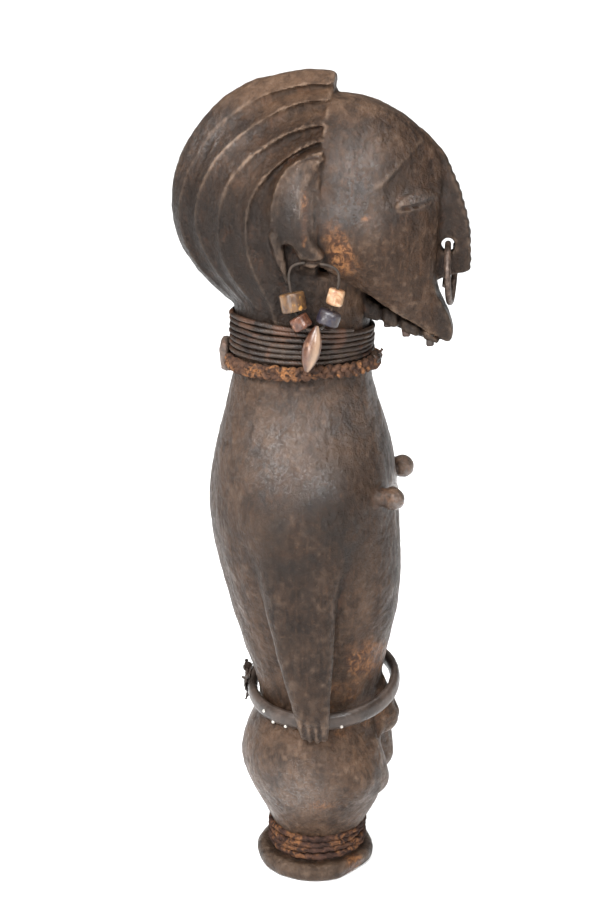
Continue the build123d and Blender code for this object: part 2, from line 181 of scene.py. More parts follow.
# ------------------------------------------------------------------ surface from a field
def surface_net(field, origin, step):
    """Closed quads around the part of a grid where the field is below 0."""
    solid = field < 0
    nx, ny, nz = field.shape
    corners = [np.array(c) for c in np.ndindex(2, 2, 2)]
    count = np.zeros((nx - 1, ny - 1, nz - 1), np.uint8)
    for c in corners:
        count += solid[c[0]:nx - 1 + c[0], c[1]:ny - 1 + c[1], c[2]:nz - 1 + c[2]]
    cells = np.argwhere((count > 0) & (count < 8))
    index = np.full(count.shape, -1, np.int64)
    index[tuple(cells.T)] = np.arange(len(cells))
    points, hits = np.zeros((len(cells), 3)), np.zeros(len(cells))
    for a in corners:
        for axis in range(3):
            if a[axis]:
                continue
            b = a.copy()
            b[axis] = 1
            va, vb = field[tuple((cells + a).T)], field[tuple((cells + b).T)]
            crossing = (va < 0) != (vb < 0)
            t = va[crossing] / (va[crossing] - vb[crossing])
            points[crossing] += a + t[:, None] * (b - a)
            hits[crossing] += 1
    points = (cells + points / hits[:, None]) * step + origin
    faces = []
    for axis in range(3):
        u, v = [(1, 2), (2, 0), (0, 1)][axis]
        low = [slice(None)] * 3
        high = [slice(None)] * 3
        low[axis], high[axis] = slice(0, -1), slice(1, None)
        differ = solid[tuple(low)] != solid[tuple(high)]
        spots = np.argwhere(differ)
        spots = spots[(spots[:, u] > 0) & (spots[:, v] > 0)]
        du, dv = np.eye(3, dtype=int)[u], np.eye(3, dtype=int)[v]
        ring = [spots - du - dv, spots - dv, spots, spots - du]
        quad = np.stack([index[tuple(r.T)] for r in ring], axis=1)
        outward = solid[tuple(low)][tuple(spots.T)]
        quad[~outward] = quad[~outward][:, ::-1]
        faces.append(quad)
    return points, np.vstack(faces)


def vertex_normals(points, faces):
    """Unit normals at vertices, from quads."""
    p = points[faces]
    n = np.cross(p[:, 2] - p[:, 0], p[:, 3] - p[:, 1])
    total = np.zeros_like(points)
    for k in range(faces.shape[1]):
        np.add.at(total, faces[:, k], n)
    return total / (np.linalg.norm(total, axis=1, keepdims=True) + 1e-12)


def spread(values, faces, rounds):
    """Average values over neighbouring vertices, several times."""
    edges = np.vstack([faces[:, [k, (k + 1) % faces.shape[1]]] for k in range(faces.shape[1])])
    shape = (len(values),) + values.shape[1:]
    degree = np.bincount(edges[:, 0], minlength=len(values)) + np.bincount(edges[:, 1], minlength=len(values))
    degree = degree.reshape((-1,) + (1,) * (values.ndim - 1))
    for _ in range(rounds):
        total = np.zeros(shape)
        if values.ndim == 1:
            total += np.bincount(edges[:, 0], values[edges[:, 1]], len(values))
            total += np.bincount(edges[:, 1], values[edges[:, 0]], len(values))
        else:
            for c in range(values.shape[1]):
                total[:, c] += np.bincount(edges[:, 0], values[edges[:, 1], c], len(values))
                total[:, c] += np.bincount(edges[:, 1], values[edges[:, 0], c], len(values))
        values = 0.5 * values + 0.5 * total / degree
    return values


def face_outwards(mesh, points):
    """Turn a closed mesh's faces round if its volume comes out below 0."""
    mesh.calc_loop_triangles()
    corners = np.empty(3 * len(mesh.loop_triangles), np.int32)
    mesh.loop_triangles.foreach_get("vertices", corners)
    a, b, c = (points - points.mean(axis=0))[corners].reshape(-1, 3, 3).transpose(1, 0, 2)
    if (a * np.cross(b, c)).sum() < -1e-3:
        mesh.flip_normals()


def new_piece(name, points, faces, smooth=True, masks=None):
    """A mesh piece from points in millimetres, with named masks for its material."""
    mesh = bpy.data.meshes.new(name)
    points = np.asarray(points, float)
    mesh.from_pydata((points * MM).tolist(), [], [list(map(int, f)) for f in faces])
    mesh.update()
    face_outwards(mesh, points)
    if smooth:
        mesh.polygons.foreach_set("use_smooth", np.ones(len(mesh.polygons), bool))
    for mask, values in (masks or {}).items():
        layer = mesh.attributes.new(mask, "FLOAT", "POINT")
        layer.data.foreach_set("value", np.asarray(values, np.float32))
    piece = bpy.data.objects.new(name, mesh)
    bpy.context.scene.collection.objects.link(piece)
    return piece


def side_outline(x, z, points, rounds=1, close=()):
    """Distance to an outline seen from the side, on the whole grid, with its corners rounded."""
    u, v = np.broadcast_arrays(x[:, :, 0], z[0, :, :])
    if close:
        line = smooth_line(points, rounds).tolist() + list(close)
    else:
        line = smooth_line(list(points) + [points[0]], rounds)[:-1]
    return outline_distance(u, v, line)


def upright(flat):
    """Carry a flat side-view field across the grid's width."""
    return flat.astype(np.float32)[:, None, :]


def field_grid(low, high, step):
    """Open grids of x, y and z in millimetres, and the grid's origin."""
    axes = [np.arange(a, b + step, step, dtype=np.float32) for a, b in zip(low, high)]
    x, y, z = np.meshgrid(*axes, indexing="ij", sparse=True)
    return x, y, z, np.array([axis[0] for axis in axes])


# ------------------------------------------------------------------ the carved figure
# Height, back, front and half width of each level section through legs and trunk.
TRUNK = [
    (5.0, -16.6, 18.6, 17.6),
    (10.0, -16.3, 18.3, 17.3),
    (18.0, -16.5, 19.0, 17.7),
    (24.0, -19.6, 23.2, 21.5),
    (32.0, -23.8, 27.0, 26.5),
    (41.0, -27.8, 28.6, 30.6),
    (50.0, -29.6, 28.0, 32.8),
    (58.0, -28.8, 27.2, 33.0),
    (65.0, -25.6, 26.0, 31.0),
    (71.0, -22.6, 25.0, 25.8),
    (77.0, -21.8, 25.0, 24.2),
    (86.0, -24.6, 26.8, 24.6),
    (98.0, -28.8, 29.6, 26.4),
    (112.0, -32.9, 32.2, 29.2),
    (126.0, -36.4, 33.5, 32.2),
    (140.0, -39.4, 33.0, 35.0),
    (155.0, -41.3, 32.0, 37.0),
    (168.0, -40.4, 30.9, 37.2),
    (180.0, -38.4, 29.0, 35.0),
    (191.0, -35.6, 25.6, 31.8),
    (201.0, -33.2, 22.4, 28.4),
    (211.0, -30.8, 19.8, 25.3),
    (224.0, -30.8, 19.8, 25.3),
    (238.0, -30.8, 19.8, 24.0),
]
# Height, middle x, half length, inner y, outer y and blend width of each section through an arm.
ARM = [
    (156.0, -2.8, 18.4, 14.0, 37.0, 8.0),
    (140.0, -2.0, 17.2, 20.0, 38.6, 3.2),
    (133.0, -2.2, 15.4, 22.4, 39.0, 1.8),
    (120.0, -1.4, 12.9, 26.4, 39.3, 1.3),
    (110.0, -0.2, 11.4, 29.4, 39.7, 1.1),
    (97.0, 1.4, 9.5, 32.8, 40.4, 0.9),
    (88.0, 2.9, 7.8, 34.2, 41.1, 0.8),
    (80.0, 3.8, 6.7, 34.2, 41.0, 0.8),
    (74.0, 4.0, 5.8, 32.6, 39.4, 0.8),
    (70.5, 4.0, 5.3, 30.4, 37.4, 0.8),
    (67.0, 4.0, 4.8, 26.6, 34.0, 1.0),
]
# x, bottom, top and half width of each upright section through the face.
FACE = [
    (-12.0, 236.0, 312.0, 25.0),
    (2.0, 238.0, 312.8, 27.2),
    (14.0, 238.0, 312.3, 26.4),
    (24.0, 232.0, 309.2, 23.6),
    (33.0, 226.0, 303.8, 18.8),
    (40.0, 222.2, 297.6, 13.0),
    (44.0, 220.6, 293.5, 8.4),
    (47.0, 219.0, 290.0, 6.0),
]
# The crest's outline from its front top edge round to the nape.
HAIR_LINE = [
    (5.4, 319.6), (-8.0, 320.0), (-25.3, 315.9), (-37.5, 307.6), (-47.0, 296.0), (-53.0, 283.6),
    (-54.8, 270.0), (-52.4, 257.6), (-46.0, 247.0), (-37.0, 237.6), (-27.0, 231.0),
]
CREST_HALF = 4.2
# Corners that close the outlines of the hair inside the face.
FACE_TOP, FACE_BOTTOM = (20.0, 319.6), (20.0, 222.0)
# Carved ridges from the crest inward: half width at the ridge, then its line from the front edge to the nape.
HAIR_RIDGES = [
    (9.4, [
        (20.0, 315.9), (4.0, 315.7), (-3.2, 315.3), (-11.3, 313.4), (-17.6, 311.6), (-26.7, 306.6),
        (-36.0, 298.9), (-42.5, 290.6), (-46.9, 282.4), (-49.4, 273.2), (-49.8, 265.8), (-47.9, 256.5),
        (-41.5, 246.4), (-33.1, 239.1), (-27.5, 234.6), (-22.0, 222.0),
    ]),
    (15.8, [
        (20.0, 311.4), (5.7, 310.9), (-4.1, 310.0), (-13.0, 306.2), (-23.0, 299.9), (-31.2, 293.2),
        (-36.8, 286.3), (-41.3, 277.1), (-43.1, 268.4), (-40.9, 258.4), (-35.2, 247.9), (-26.3, 238.2),
        (-22.0, 233.0), (-18.0, 222.0),
    ]),
    (21.4, [
        (20.0, 303.4), (5.1, 302.8), (-3.3, 301.4), (-12.2, 297.2), (-21.3, 290.9), (-28.1, 283.7),
        (-31.8, 275.5), (-33.3, 266.8), (-32.6, 257.3), (-28.6, 247.3), (-21.7, 239.4), (-17.0, 233.0),
        (-14.0, 222.0),
    ]),
    (25.4, [
        (20.0, 298.6), (5.6, 297.7), (0.2, 296.2), (-6.6, 292.0), (-13.7, 286.2), (-19.6, 279.0),
        (-22.4, 269.2), (-22.3, 260.2), (-20.2, 251.5), (-15.5, 242.1), (-12.0, 234.0), (-10.0, 222.0),
    ]),
    (27.6, [
        (20.0, 294.6), (6.1, 294.2), (-0.6, 292.6), (-6.2, 289.2), (-10.0, 284.6), (-12.6, 276.4),
        (-12.6, 267.9), (-11.5, 261.1), (-9.6, 255.4), (-7.0, 248.5), (-5.0, 238.0), (-4.0, 222.0),
    ]),
]
# The cheek's lower edge, from its back end to the chin.
JAW_EDGE = ((15.0, 244.8), (46.2, 222.8))
NOSE_RIDGE = [
    (38.0, 299.0), (43.0, 295.4), (46.4, 291.6), (51.4, 281.3), (54.8, 272.0), (57.2, 260.0), (57.3, 250.4),
    (56.6, 248.0),
]


def hairline(z):
    """How far forward the hair's front edge leans, from its place 300 mm up."""
    return 0.06 * (z - 300.0)


def body_field(x, y, z):
    """Legs, trunk, arms, breasts and foot."""
    level = z[0, 0, :]
    back, front, half = (table(TRUNK, c, level).astype(np.float32)[None, None, :] for c in (1, 2, 3))
    trunk = oval(x, y, (back + front) / 2, 0.0, (front - back) / 2, half, 2.12)
    side = np.abs(y)
    # A shallow hollow runs down the middle of the back.
    spine = 1.4 * np.exp(-(y / 3.2) ** 2) * step_between(0, -20, x)
    trunk = trunk + spine * step_between(90, 120, z) * step_between(205, 180, z)
    # Thighs part below the belly, and the seat rounds out behind.
    crease = np.exp(-((side - 1.0) / 1.5) ** 2) * step_between(60, 50, z) * step_between(20, 28, z)
    trunk = trunk + 1.9 * crease * step_between(-4, -22, x)
    channel = np.exp(-(y / 3.0) ** 2) * step_between(60, 52, z) * step_between(24, 32, z)
    trunk = trunk + 3.0 * channel * step_between(10, 22, x)
    trunk = join(trunk, rod(x, side, z, (21.0, 11.4, 56.0), (23.5, 10.4, 43.5), 6.6, 7.6), 2.6)
    trunk = join(trunk, ball(x, side, z, (17.0, 19.0, 50.0), 11.0), 8.0)
    middle, length, inner, outer, blend = (
        table(ARM, c, level, 2.4).astype(np.float32)[None, None, :] for c in (1, 2, 3, 4, 5)
    )
    arm = oval(x, side, middle, (inner + outer) / 2, length, (outer - inner) / 2, 2.5)
    arm = common(arm, 68.8 - z, 1.6)
    arm = common(arm, z - 160.0, 8.0)
    # Three grooves part four fingers: how far each is from the hand's middle, and its top.
    for groove, top in ((-3.0, 83.0), (0.0, 80.0), (2.9, 82.0)):
        cut = np.exp(-((x - middle - groove) / 0.55) ** 2)
        arm = arm + 1.5 * cut * step_between(top, top - 5.0, z) * step_between(28.0, 33.0, side)
    body = join(trunk, arm, blend)
    # Breasts are balls on short necks.
    body = join(body, rod(x, side, z, (24.0, 19.6, 164.9), (31.0, 20.0, 164.7), 3.5, 3.3), 1.4)
    body = join(body, ball(x, side, z, BREAST, 4.5), 0.5)
    # The boss under the belly, a narrow ridge on each side of it, and a hollow beside each ridge.
    boss = rod(x, y, z, (22.8, 0.0, 79.5), (26.2, 0.0, 66.2), 5.6, 8.0)
    body = join(body, boss + 1.2 * np.exp(-(y / 0.8) ** 2) * step_between(74, 70, z), 1.6)
    body = join(body, rod(x, side, z, (27.4, 6.6, 69.0), (26.2, 6.2, 60.5), 2.1, 1.8), 0.8)
    body = common(body, -rod(x, side, z, (27.0, 10.4, 68.5), (27.4, 9.6, 61.0), 2.4, 1.4), 1.0)
    # The round foot, chipped at its front right.
    rho = np.sqrt(x * x + y * y)
    flare = FOOT_RADIUS - 0.5 * step_between(4.5, 0.0, z) - 0.9 * step_between(4.0, FOOT_HEIGHT, z)
    foot = common(rho - flare, np.abs(z - FOOT_HEIGHT / 2) - FOOT_HEIGHT / 2, 2.0)
    chip = 22.4 - (x * 0.83 - y * 0.56) + 0.45 * (z - 3.0)
    foot = common(foot, -chip, 0.6)
    return join(body, foot, 1.2)


def hair_field(x, y, z):
    """The crest of hair: fluted shells one inside the other, with a sharp ridge along each."""
    u, v = np.broadcast_arrays(x[:, :, 0], z[0, :, :])
    rim = side_outline(x, z, HAIR_LINE, 2, (FACE_BOTTOM, FACE_TOP))
    lines = [rim] + [side_outline(x, z, line, 2, (FACE_BOTTOM,)) for _, line in HAIR_RIDGES]
    widths = [CREST_HALF] + [width for width, _ in HAIR_RIDGES]
    # Flutes are deepest at the front of the crown and fade towards the nape.
    fade = 0.34 + 0.66 * step_between(-34.0, 2.0, u) * step_between(262.0, 286.0, v)
    fade = fade * (0.35 + 0.65 * step_between(232.0, 256.0, v))
    half = np.full(u.shape, CREST_HALF)
    for outer, inner, w0, w1 in zip(lines[:-1], lines[1:], widths[:-1], widths[1:]):
        t = np.clip(-outer / (np.abs(outer) + np.abs(inner) + 1e-6), 0, 1)
        flute = (4.4 if w0 > 5 else 0.9) * fade * np.sin(pi * t ** 0.72) ** 0.8
        half = np.where(outer < 0, w0 + (w1 - w0) * t - flute, half)
    # The hollow in front of the innermost ridge rises again towards the ear.
    innermost = np.clip(-lines[-1] / 12.0, 0, 1)
    hollow = 1.6 * np.sin(pi * np.clip(innermost * 1.6, 0, 1)) * fade
    half = np.where(lines[-1] < 0, widths[-1] - hollow + innermost, half)
    # Below the ear the front wall of the hair sinks into the neck.
    half = half - 6.0 * step_between(257.0, 246.0, v) * step_between(-13.0, -4.0, u)
    hair = (np.abs(y) - upright(half)) * 0.72
    hair = common(hair, upright(rim), 2.6)
    return common(hair, x - 5.9 - hairline(z), 2.2)


def face_field(x, y, z):
    """The face from chin to hairline, with its sockets and eyes."""
    side = np.abs(y)
    along = x[:, 0, 0]
    bottom, top, half = (table(FACE, c, along, 2.0).astype(np.float32)[:, None, None] for c in (1, 2, 3))
    face = oval(y, z, 0.0, (bottom + top) / 2, half, (top - bottom) / 2, 2.25)
    front = side_outline(x, z, [
        (-20, 250), (-20, 312), (2, 312.6), (11, 312.8), (17, 311.6), (24, 309.5), (30, 306), (35, 302.5),
        (39, 299), (42.6, 295.5), (45, 291), (46, 284), (45.2, 272), (44.4, 258), (44.2, 248), (45, 240),
        (47.8, 235.2), (50.2, 229.6), (51.5, 225), (50.9, 221.6), (48.2, 220.2), (45.6, 221), (30.8, 232),
        (15, 243.4), (2, 252),
    ])
    face = common(face, upright(front), 2.4)
    # The eye socket is a flat hollow below a faint brow line.
    brow = (x - 35.3) * 0.741 - (z - 292.0) * 0.671
    fade = 9.0 * step_between(285.0, 274.0, z)
    socket = step_between(0.0, 1.0, (brow + 0.4 + 0.4 * fade) / (1.4 + fade))
    socket = socket * step_between(17.0, 6.0, brow) * step_between(258.0, 268.0, z)
    socket = socket * step_between(4.0, 8.0, side) * step_between(47.0, 43.0, x)
    rim = np.exp(-((brow + 0.9) / 1.0) ** 2) * step_between(279.0, 286.0, z) * step_between(296, 289, z)
    face = face + 1.4 * socket - 0.16 * rim
    # Eyes are swollen lids with a sloping slit.
    slope = radians(14.0)
    eye_u = (x - EYE[0]) * cos(slope) + (z - EYE[1]) * sin(slope)
    eye_v = -(x - EYE[0]) * sin(slope) + (z - EYE[1]) * cos(slope)
    lens = np.clip(1 - (eye_u / 7.4) ** 2 - (np.where(eye_v > 0, eye_v / 4.8, eye_v / 3.2)) ** 2, 0, 1)
    lid_line = eye_v + 0.5 - 0.02 * (eye_u - 1.0) ** 2
    slit = np.exp(-(lid_line / 0.62) ** 2) * step_between(-5.6, -3.2, eye_u) * step_between(7.0, 5.4, eye_u)
    upper = step_between(-0.4, 0.5, lid_line)
    eye = 2.2 * np.sqrt(lens) + 1.8 * np.sqrt(lens) * upper - 2.4 * slit * (lens > 0.02)
    face = face - eye * (side > 3.0)
    # The cheek ends in a straight overhanging edge above the mouth.
    (x0, z0), (x1, z1) = JAW_EDGE
    run = sqrt((x1 - x0) ** 2 + (z1 - z0) ** 2)
    below = ((x - x0) * (z1 - z0) - (z - z0) * (x1 - x0)) / run
    face = common(face, below, 1.2)
    # Behind the hairline the face gives way to the fluted hair.
    return common(face, 4.6 + hairline(z) - x, 0.9)


def nose_field(x, y, z):
    """The nose: a tall fin with a notched front edge, flaring where it meets the face."""
    fin = side_outline(x, z, NOSE_RIDGE + [(50.6, 246.6), (44.0, 244.6), (34.0, 250.0), (32.0, 290.0)])
    edge = smooth_line(NOSE_RIDGE, 2)
    lengths = np.concatenate([[0], np.cumsum(np.hypot(*np.diff(edge, axis=0).T))])
    px, pz = np.broadcast_arrays(x[:, :, 0], z[0, :, :])
    notches = np.full(px.shape, 9.0)
    for spot in np.arange(15.5, lengths[-1] - 1.0, 3.55):
        at = [np.interp(spot, lengths, edge[:, c]) for c in (0, 1)]
        notches = np.minimum(notches, np.hypot(px - at[0] - 0.75, pz - at[1] - 0.3) - 1.15)
    fin = common(upright(fin), -upright(notches), 0.5)
    flare = 0.040 * np.clip(51.0 - x, 0, 8) ** 2 * step_between(292.0, 280.0, z)
    thick = 2.8 + flare - 1.2 * step_between(280.0, 294.0, z)
    return common(fin, (np.abs(y) - thick) * 0.9, 1.3)


def jaw_fields(x, y, z):
    """The lower jaw, set back under the cheeks with a groove by each peg, and the web that holds it."""
    side = np.abs(y)
    bar = upright(side_outline(x, z, [
        (4.0, 235.0), (19.0, 231.2), (45.6, 220.6), (46.8, 222.6), (19.0, 238.6), (4.0, 243.0),
    ]))
    bar = common(bar, side - (7.4 - 0.05 * np.clip(x - 10.0, 0, 40)), 1.0)
    for spot in (24.9, 31.6, 39.6):
        bar = bar + 1.6 * np.exp(-((x - spot) / 0.9) ** 2) * step_between(2.5, 4.5, side)
    web = upright(side_outline(x, z, [
        (2.0, 236.0), (19.0, 232.4), (45.2, 222.4), (47.0, 228.0), (18.0, 248.0), (2.0, 250.0),
    ], 0))
    return bar, common(web, side - 1.8, 0.5)


def ear_fields(x, y, z):
    """Ears as a thin raised C with a lobe below, and the hollows behind and in front of each."""
    side = np.abs(y)
    ear = upright(side_outline(x, z, [
        (5.6, 291.6), (4.2, 288.6), (1.6, 284.2), (-0.2, 280.4), (-0.5, 275.6), (-0.4, 270.4), (0.6, 265.4),
        (2.4, 261.8), (5.6, 259.6), (6.4, 256.4), (4.0, 253.6), (0.6, 253.4), (-2.6, 256.0), (-3.6, 259.4),
        (-6.8, 261.4), (-9.8, 260.4), (-11.8, 266.0), (-12.2, 276.4), (-9.2, 284.6), (-4.6, 289.6),
        (0.6, 292.2),
    ], 2))
    dish = np.exp(-(((x + 7.6) / 3.4) ** 2 + ((z - 275.0) / 9.0) ** 2))
    plate = 29.7 + 0.10 * x - 0.8 * dish + 0.6 * step_between(262.0, 256.0, z)
    ear = common(ear, side - plate, 2.6)
    ear = common(ear, 20.0 - side, 0.5)
    strip = rod(x, side, z, (-11.4, 28.2, 264.0), (-7.2, 26.2, 247.6), 1.9, 1.2)
    pocket = upright(side_outline(x, z, [
        (-8.8, 261.0), (-6.4, 261.4), (-3.9, 259.0), (-2.4, 256.6), (-1.8, 254.0), (-4.1, 250.6),
        (-6.7, 249.8), (-7.8, 254.4),
    ]))
    pocket = common(pocket, 24.2 - side, 0.6)
    trench = rod(x, side, z, (3.6, 29.4, 280.0), (4.0, 29.6, 264.0), 1.3, 1.9)
    trench = join(trench, rod(x, side, z, (4.0, 29.6, 264.0), (6.6, 29.6, 259.6), 1.9, 1.2), 0.8)
    return join(ear, strip, 1.4), pocket, trench


def head_field(x, y, z):
    """Neck, face, hair, nose, mouth and ears."""
    neck = oval(x, y, NECK_X, 0.0, NECK_RADIUS, 24.4, 2.0)
    neck = common(neck, z - 250.0, 4.0)
    head = join(face_field(x, y, z), neck, 1.5)
    head = join(head, hair_field(x, y, z), 0.9)
    head = join(head, nose_field(x, y, z), 2.2)
    bar, web = jaw_fields(x, y, z)
    head = join(join(head, bar, 0.6), web, 0.5)
    ear, pocket, trench = ear_fields(x, y, z)
    head = join(head, ear, 1.6)
    head = common(head, -pocket, 0.8)
    head = common(head, -trench, 1.0)
    # Bores for the ring and for the ear strings.
    bore = np.sqrt((x - NOSTRIL[0]) ** 2 + (z - NOSTRIL[1]) ** 2) - NOSTRIL_RADIUS
    head = common(head, -bore, 0.7)
    lobe = np.sqrt((np.abs(y) - EAR_Y) ** 2 + (z - LOBE_Z) ** 2) - LOBE_BORE
    return common(head, -np.maximum(lobe, np.abs(x - LOBE_X) - 12.0), 0.4)


def sculpt(build, low, high, step, cut):
    """Mesh one half of the figure, roughen it, and find its sharp edges and hollows."""
    x, y, z, origin = field_grid(low, high, step)
    field = np.maximum(build(x, y, z), cut(z)).astype(np.float32)
    field = np.broadcast_to(field, (x.size, y.size, z.size)).copy()
    for axis in range(3):
        for end in (0, -1):
            edge = [slice(None)] * 3
            edge[axis] = end
            field[tuple(edge)] = 5.0
    points, faces = surface_net(field, origin, step)
    points = spread(points, faces, 1)
    normals = vertex_normals(points, faces)
    facets, lumps, grit = Lattice(11), Lattice(12), Lattice(13)
    stretch = points * np.array([1.0, 1.0, 0.55])
    free = 1 - np.exp(-((points[:, 2] - SPLIT_Z) / 3.0) ** 2)
    on_foot = step_between(0.6, 1.6, points[:, 2])
    relief = 0.34 * facets(stretch, 9.0) + 0.24 * lumps(stretch, 4.4) + 0.15 * grit(points, 2.0)
    moved = points + normals * (relief * free * on_foot)[:, None]
    normals = vertex_normals(moved, faces)
    smoothed = spread(moved, faces, 3)
    bend = spread(((moved - smoothed) * normals).sum(1), faces, 1) / step
    wide = spread(moved, faces, 14)
    hollow = spread(((wide - moved) * normals).sum(1), faces, 3) / step
    masks = {
        "edge": np.clip(bend * 9.0 - 0.15, 0, 1),
        "hollow": np.clip(hollow * 1.1, 0, 1),
    }
    return moved, faces, masks


# Places that light catches: middle x and z, their reach, and how glossy they are.
GLOSSY = [
    (-10, 184, 12, 17, 1.0), (6, 175, 7, 7, 0.9), (18, 287, 11, 13, 1.0), (15, 272, 11, 6, 0.9),
    (-2, 46, 12, 13, 0.8), (-34, 296, 16, 10, 0.7), (-4, 280, 4, 9, 0.8), (38, 276, 7, 3, 1.0),
    (10, 196, 14, 12, 0.6), (33, 165, 6, 6, 1.0),
]


def figure_masks(points, masks):
    """Places on the figure that are darker or carry painted shade, glossier, warmer or worn, and its edges,
    lightened for wear and as a painted highlight.
    """
    x, y, z = points.T
    side = np.abs(y)
    blot = Lattice(31)
    wander = blot(points, 14.0) + 0.6 * blot(points + 50, 6.0) + 0.35 * blot(points + 90, 2.6)

    def haze(at_x, at_z, wide_x, wide_z):
        """A soft oval spot, seen from the side."""
        return np.exp(-(((x - at_x) / wide_x) ** 2 + ((z - at_z) / wide_z) ** 2))

    def blotch(at_x, at_z, wide_x, wide_z, ragged, low=1.0, high=0.3):
        """A ragged oval spot, seen from the side."""
        return step_between(low, high, np.hypot((x - at_x) / wide_x, (z - at_z) / wide_z) + ragged * wander)

    near = {"gloss": np.zeros(len(x))}
    for *spot, amount in GLOSSY:
        near["gloss"] += amount * haze(*spot)
    # A darker patch over the upper arms and the body beside them.
    upper_arm_dark = haze(12, 158, 13, 22) + haze(-2, 150, 18, 17)
    near["upper_arm_dark"] = np.clip(upper_arm_dark * (0.85 + 0.8 * wander), 0, 1)
    # Warm places are resin on the cheek, the ear's worn edge, chips and worn skin.
    resin = np.hypot((x - 12.6 + 0.25 * (z - 257)) / 6.4, (z - 257.5) / 12.5)
    resin = step_between(1.05, 0.45, resin + 0.32 * wander) * (y < 0)
    front_edge = np.abs(x + 0.6 + 0.010 * (z - 268) ** 2 * (z < 268) * 0.3)
    ear_worn = step_between(2.0, 0.3, front_edge + 0.9 * np.abs(wander))
    ear_worn = ear_worn * (np.abs(z - 271) < 10) * (side > 26)
    chip = step_between(1.0, 0.3, np.hypot((x - 18) / 6, (y + 14) / 7) + 0.2 * wander) * (z < 7.4)
    hip = 0.55 * blotch(5.0, 39.0, 7.5, 4.0, 0.4) * (y < 0)
    sag = 0.45 * step_between(0.4, 1.0, wander) * step_between(60, 66, z) * step_between(100, 88, z)
    sag = sag * (x > 4) * (y < 0)
    streak = blotch(21.0, 270.5, 3.4, 2.0, 0.3) * (y < 0)
    belly = 0.75 * blotch(22.0, 97.0, 9.0, 11.0, 0.35, 1.0, 0.4)
    from_breast = np.hypot(x - BREAST[0], z - BREAST[2])
    teats = 0.25 * step_between(7.0, 5.0, from_breast) * (x > 27)
    near["warm"] = np.clip(resin + 0.8 * ear_worn + chip + streak + hip + sag + belly + teats, 0, 1)
    arm = step_between(29.0, 33.0, side) * step_between(152, 138, z) * step_between(66, 70, z)
    trunk = 0.18 + 0.20 * step_between(80, 66, z) + 0.04 * step_between(-8, -20, x)
    trunk = step_between(218, 206, z) * trunk * (1 - arm)
    near["pale"] = np.clip(trunk + step_between(300, 314, z) * 0.7 + 0.35 * wander, 0, 1)
    # Dark places: painted shade in the mouth's recess, at the nape and on the front of the nose and chin; the
    # arms, the foot, the backs of the hair and body and the breasts are darkened.
    # The mouth's recess under the cheek edge gets painted shade.
    mouth_line = JAW_EDGE[0][1] - 1.6 - 0.705 * (x - JAW_EDGE[0][0])
    in_mouth = (x > 12) * (x < 48.6) * (z > 214) * (z < 245) * (side < 8.6)
    mouth = step_between(2.0, -1.0, z - mouth_line) * in_mouth
    # The neck and lower hair under the crest's overhang get painted shade.
    nape = step_between(222, 236, z) * step_between(292, 262, z) * step_between(14, -4, x)
    # The front of the nose and chin, turned from the light, gets painted shade; arms, foot, backs and breasts
    # are darkened.
    darkened_and_painted_shade = 0.48 * arm + 0.55 * step_between(13, 9, z) + 0.80 * step_between(44, 47, x)
    darkened_and_painted_shade = darkened_and_painted_shade + 0.30 * step_between(-20, -44, x) + 0.6 * step_between(7.5, 5.5, from_breast) * (x > 27)
    near["dark"] = np.clip(nape + 1.5 * mouth + darkened_and_painted_shade + 0.2 * wander, 0, 1)
    # The edge mask lightens edges for wear and as a painted highlight, less round the eye.
    near["edge"] = masks["edge"] * (1 - 0.8 * haze(*EYE, 9, 6))
    return {**masks, **near}


def make_figure():
    """The figure is meshed in two halves that meet under the neck cord."""
    halves = [
        ("figure_body", body_field, (-45, -44, -1.6), (37, 44, 227), 0.86,
         lambda z: np.maximum(z - SPLIT_Z - 1.0, -z)),
        ("figure_head", head_field, (-58, -35, 218), (61, 35, 323), 0.66,
         lambda z: SPLIT_Z - 1.0 - z),
    ]
    pieces = []
    for name, build, low, high, step, cut in halves:
        points, faces, masks = sculpt(build, low, high, step, cut)
        pieces.append(new_piece(name, points, faces, masks=figure_masks(points, masks)))
    return pieces


# ------------------------------------------------------------------ wound cords
def path_frames(points, closed):
    """Tangents and two steady side directions along a dense path."""
    p = np.asarray(points, float)
    if closed:
        tangent = np.roll(p, -1, axis=0) - np.roll(p, 1, axis=0)
    else:
        tangent = np.gradient(p, axis=0)
    tangent /= np.linalg.norm(tangent, axis=1, keepdims=True)
    away = p - p.mean(axis=0)
    away[:, 2] = 0
    away -= (away * tangent).sum(1, keepdims=True) * tangent
    away /= np.linalg.norm(away, axis=1, keepdims=True) + 1e-9
    return tangent, away, np.cross(tangent, away)


def tube_mesh(points, out, up, radius, sides, closed):
    """Points and quads of a tube, with a radius for each ring."""
    p = np.asarray(points, float)
    n = len(p)
    radius = np.broadcast_to(radius, n)
    turn = 2 * pi * np.arange(sides) / sides
    ring = np.cos(turn)[None, :, None] * out[:, None, :] + np.sin(turn)[None, :, None] * up[:, None, :]
    verts = (p[:, None, :] + ring * radius[:, None, None]).reshape(-1, 3)
    i = np.arange(n if closed else n - 1)
    j = np.arange(sides)
    a, b = np.meshgrid(i, j, indexing="ij")
    a2, b2 = (a + 1) % n, (b + 1) % sides
    quads = np.stack([a * sides + b, a * sides + b2, a2 * sides + b2, a2 * sides + b], axis=-1).reshape(-1, 4)
    faces = quads.tolist()
    if not closed:
        faces.append(list(range(sides)))
        faces.append(list(range((n - 1) * sides, n * sides))[::-1])
    return verts, faces


def merge(parts):
    """Join several meshes of points and faces."""
    points, faces, start = [], [], 0
    for p, f in parts:
        points.append(p)
        faces += [[v + start for v in face] for face in f]
        start += len(p)
    return np.vstack(points), faces


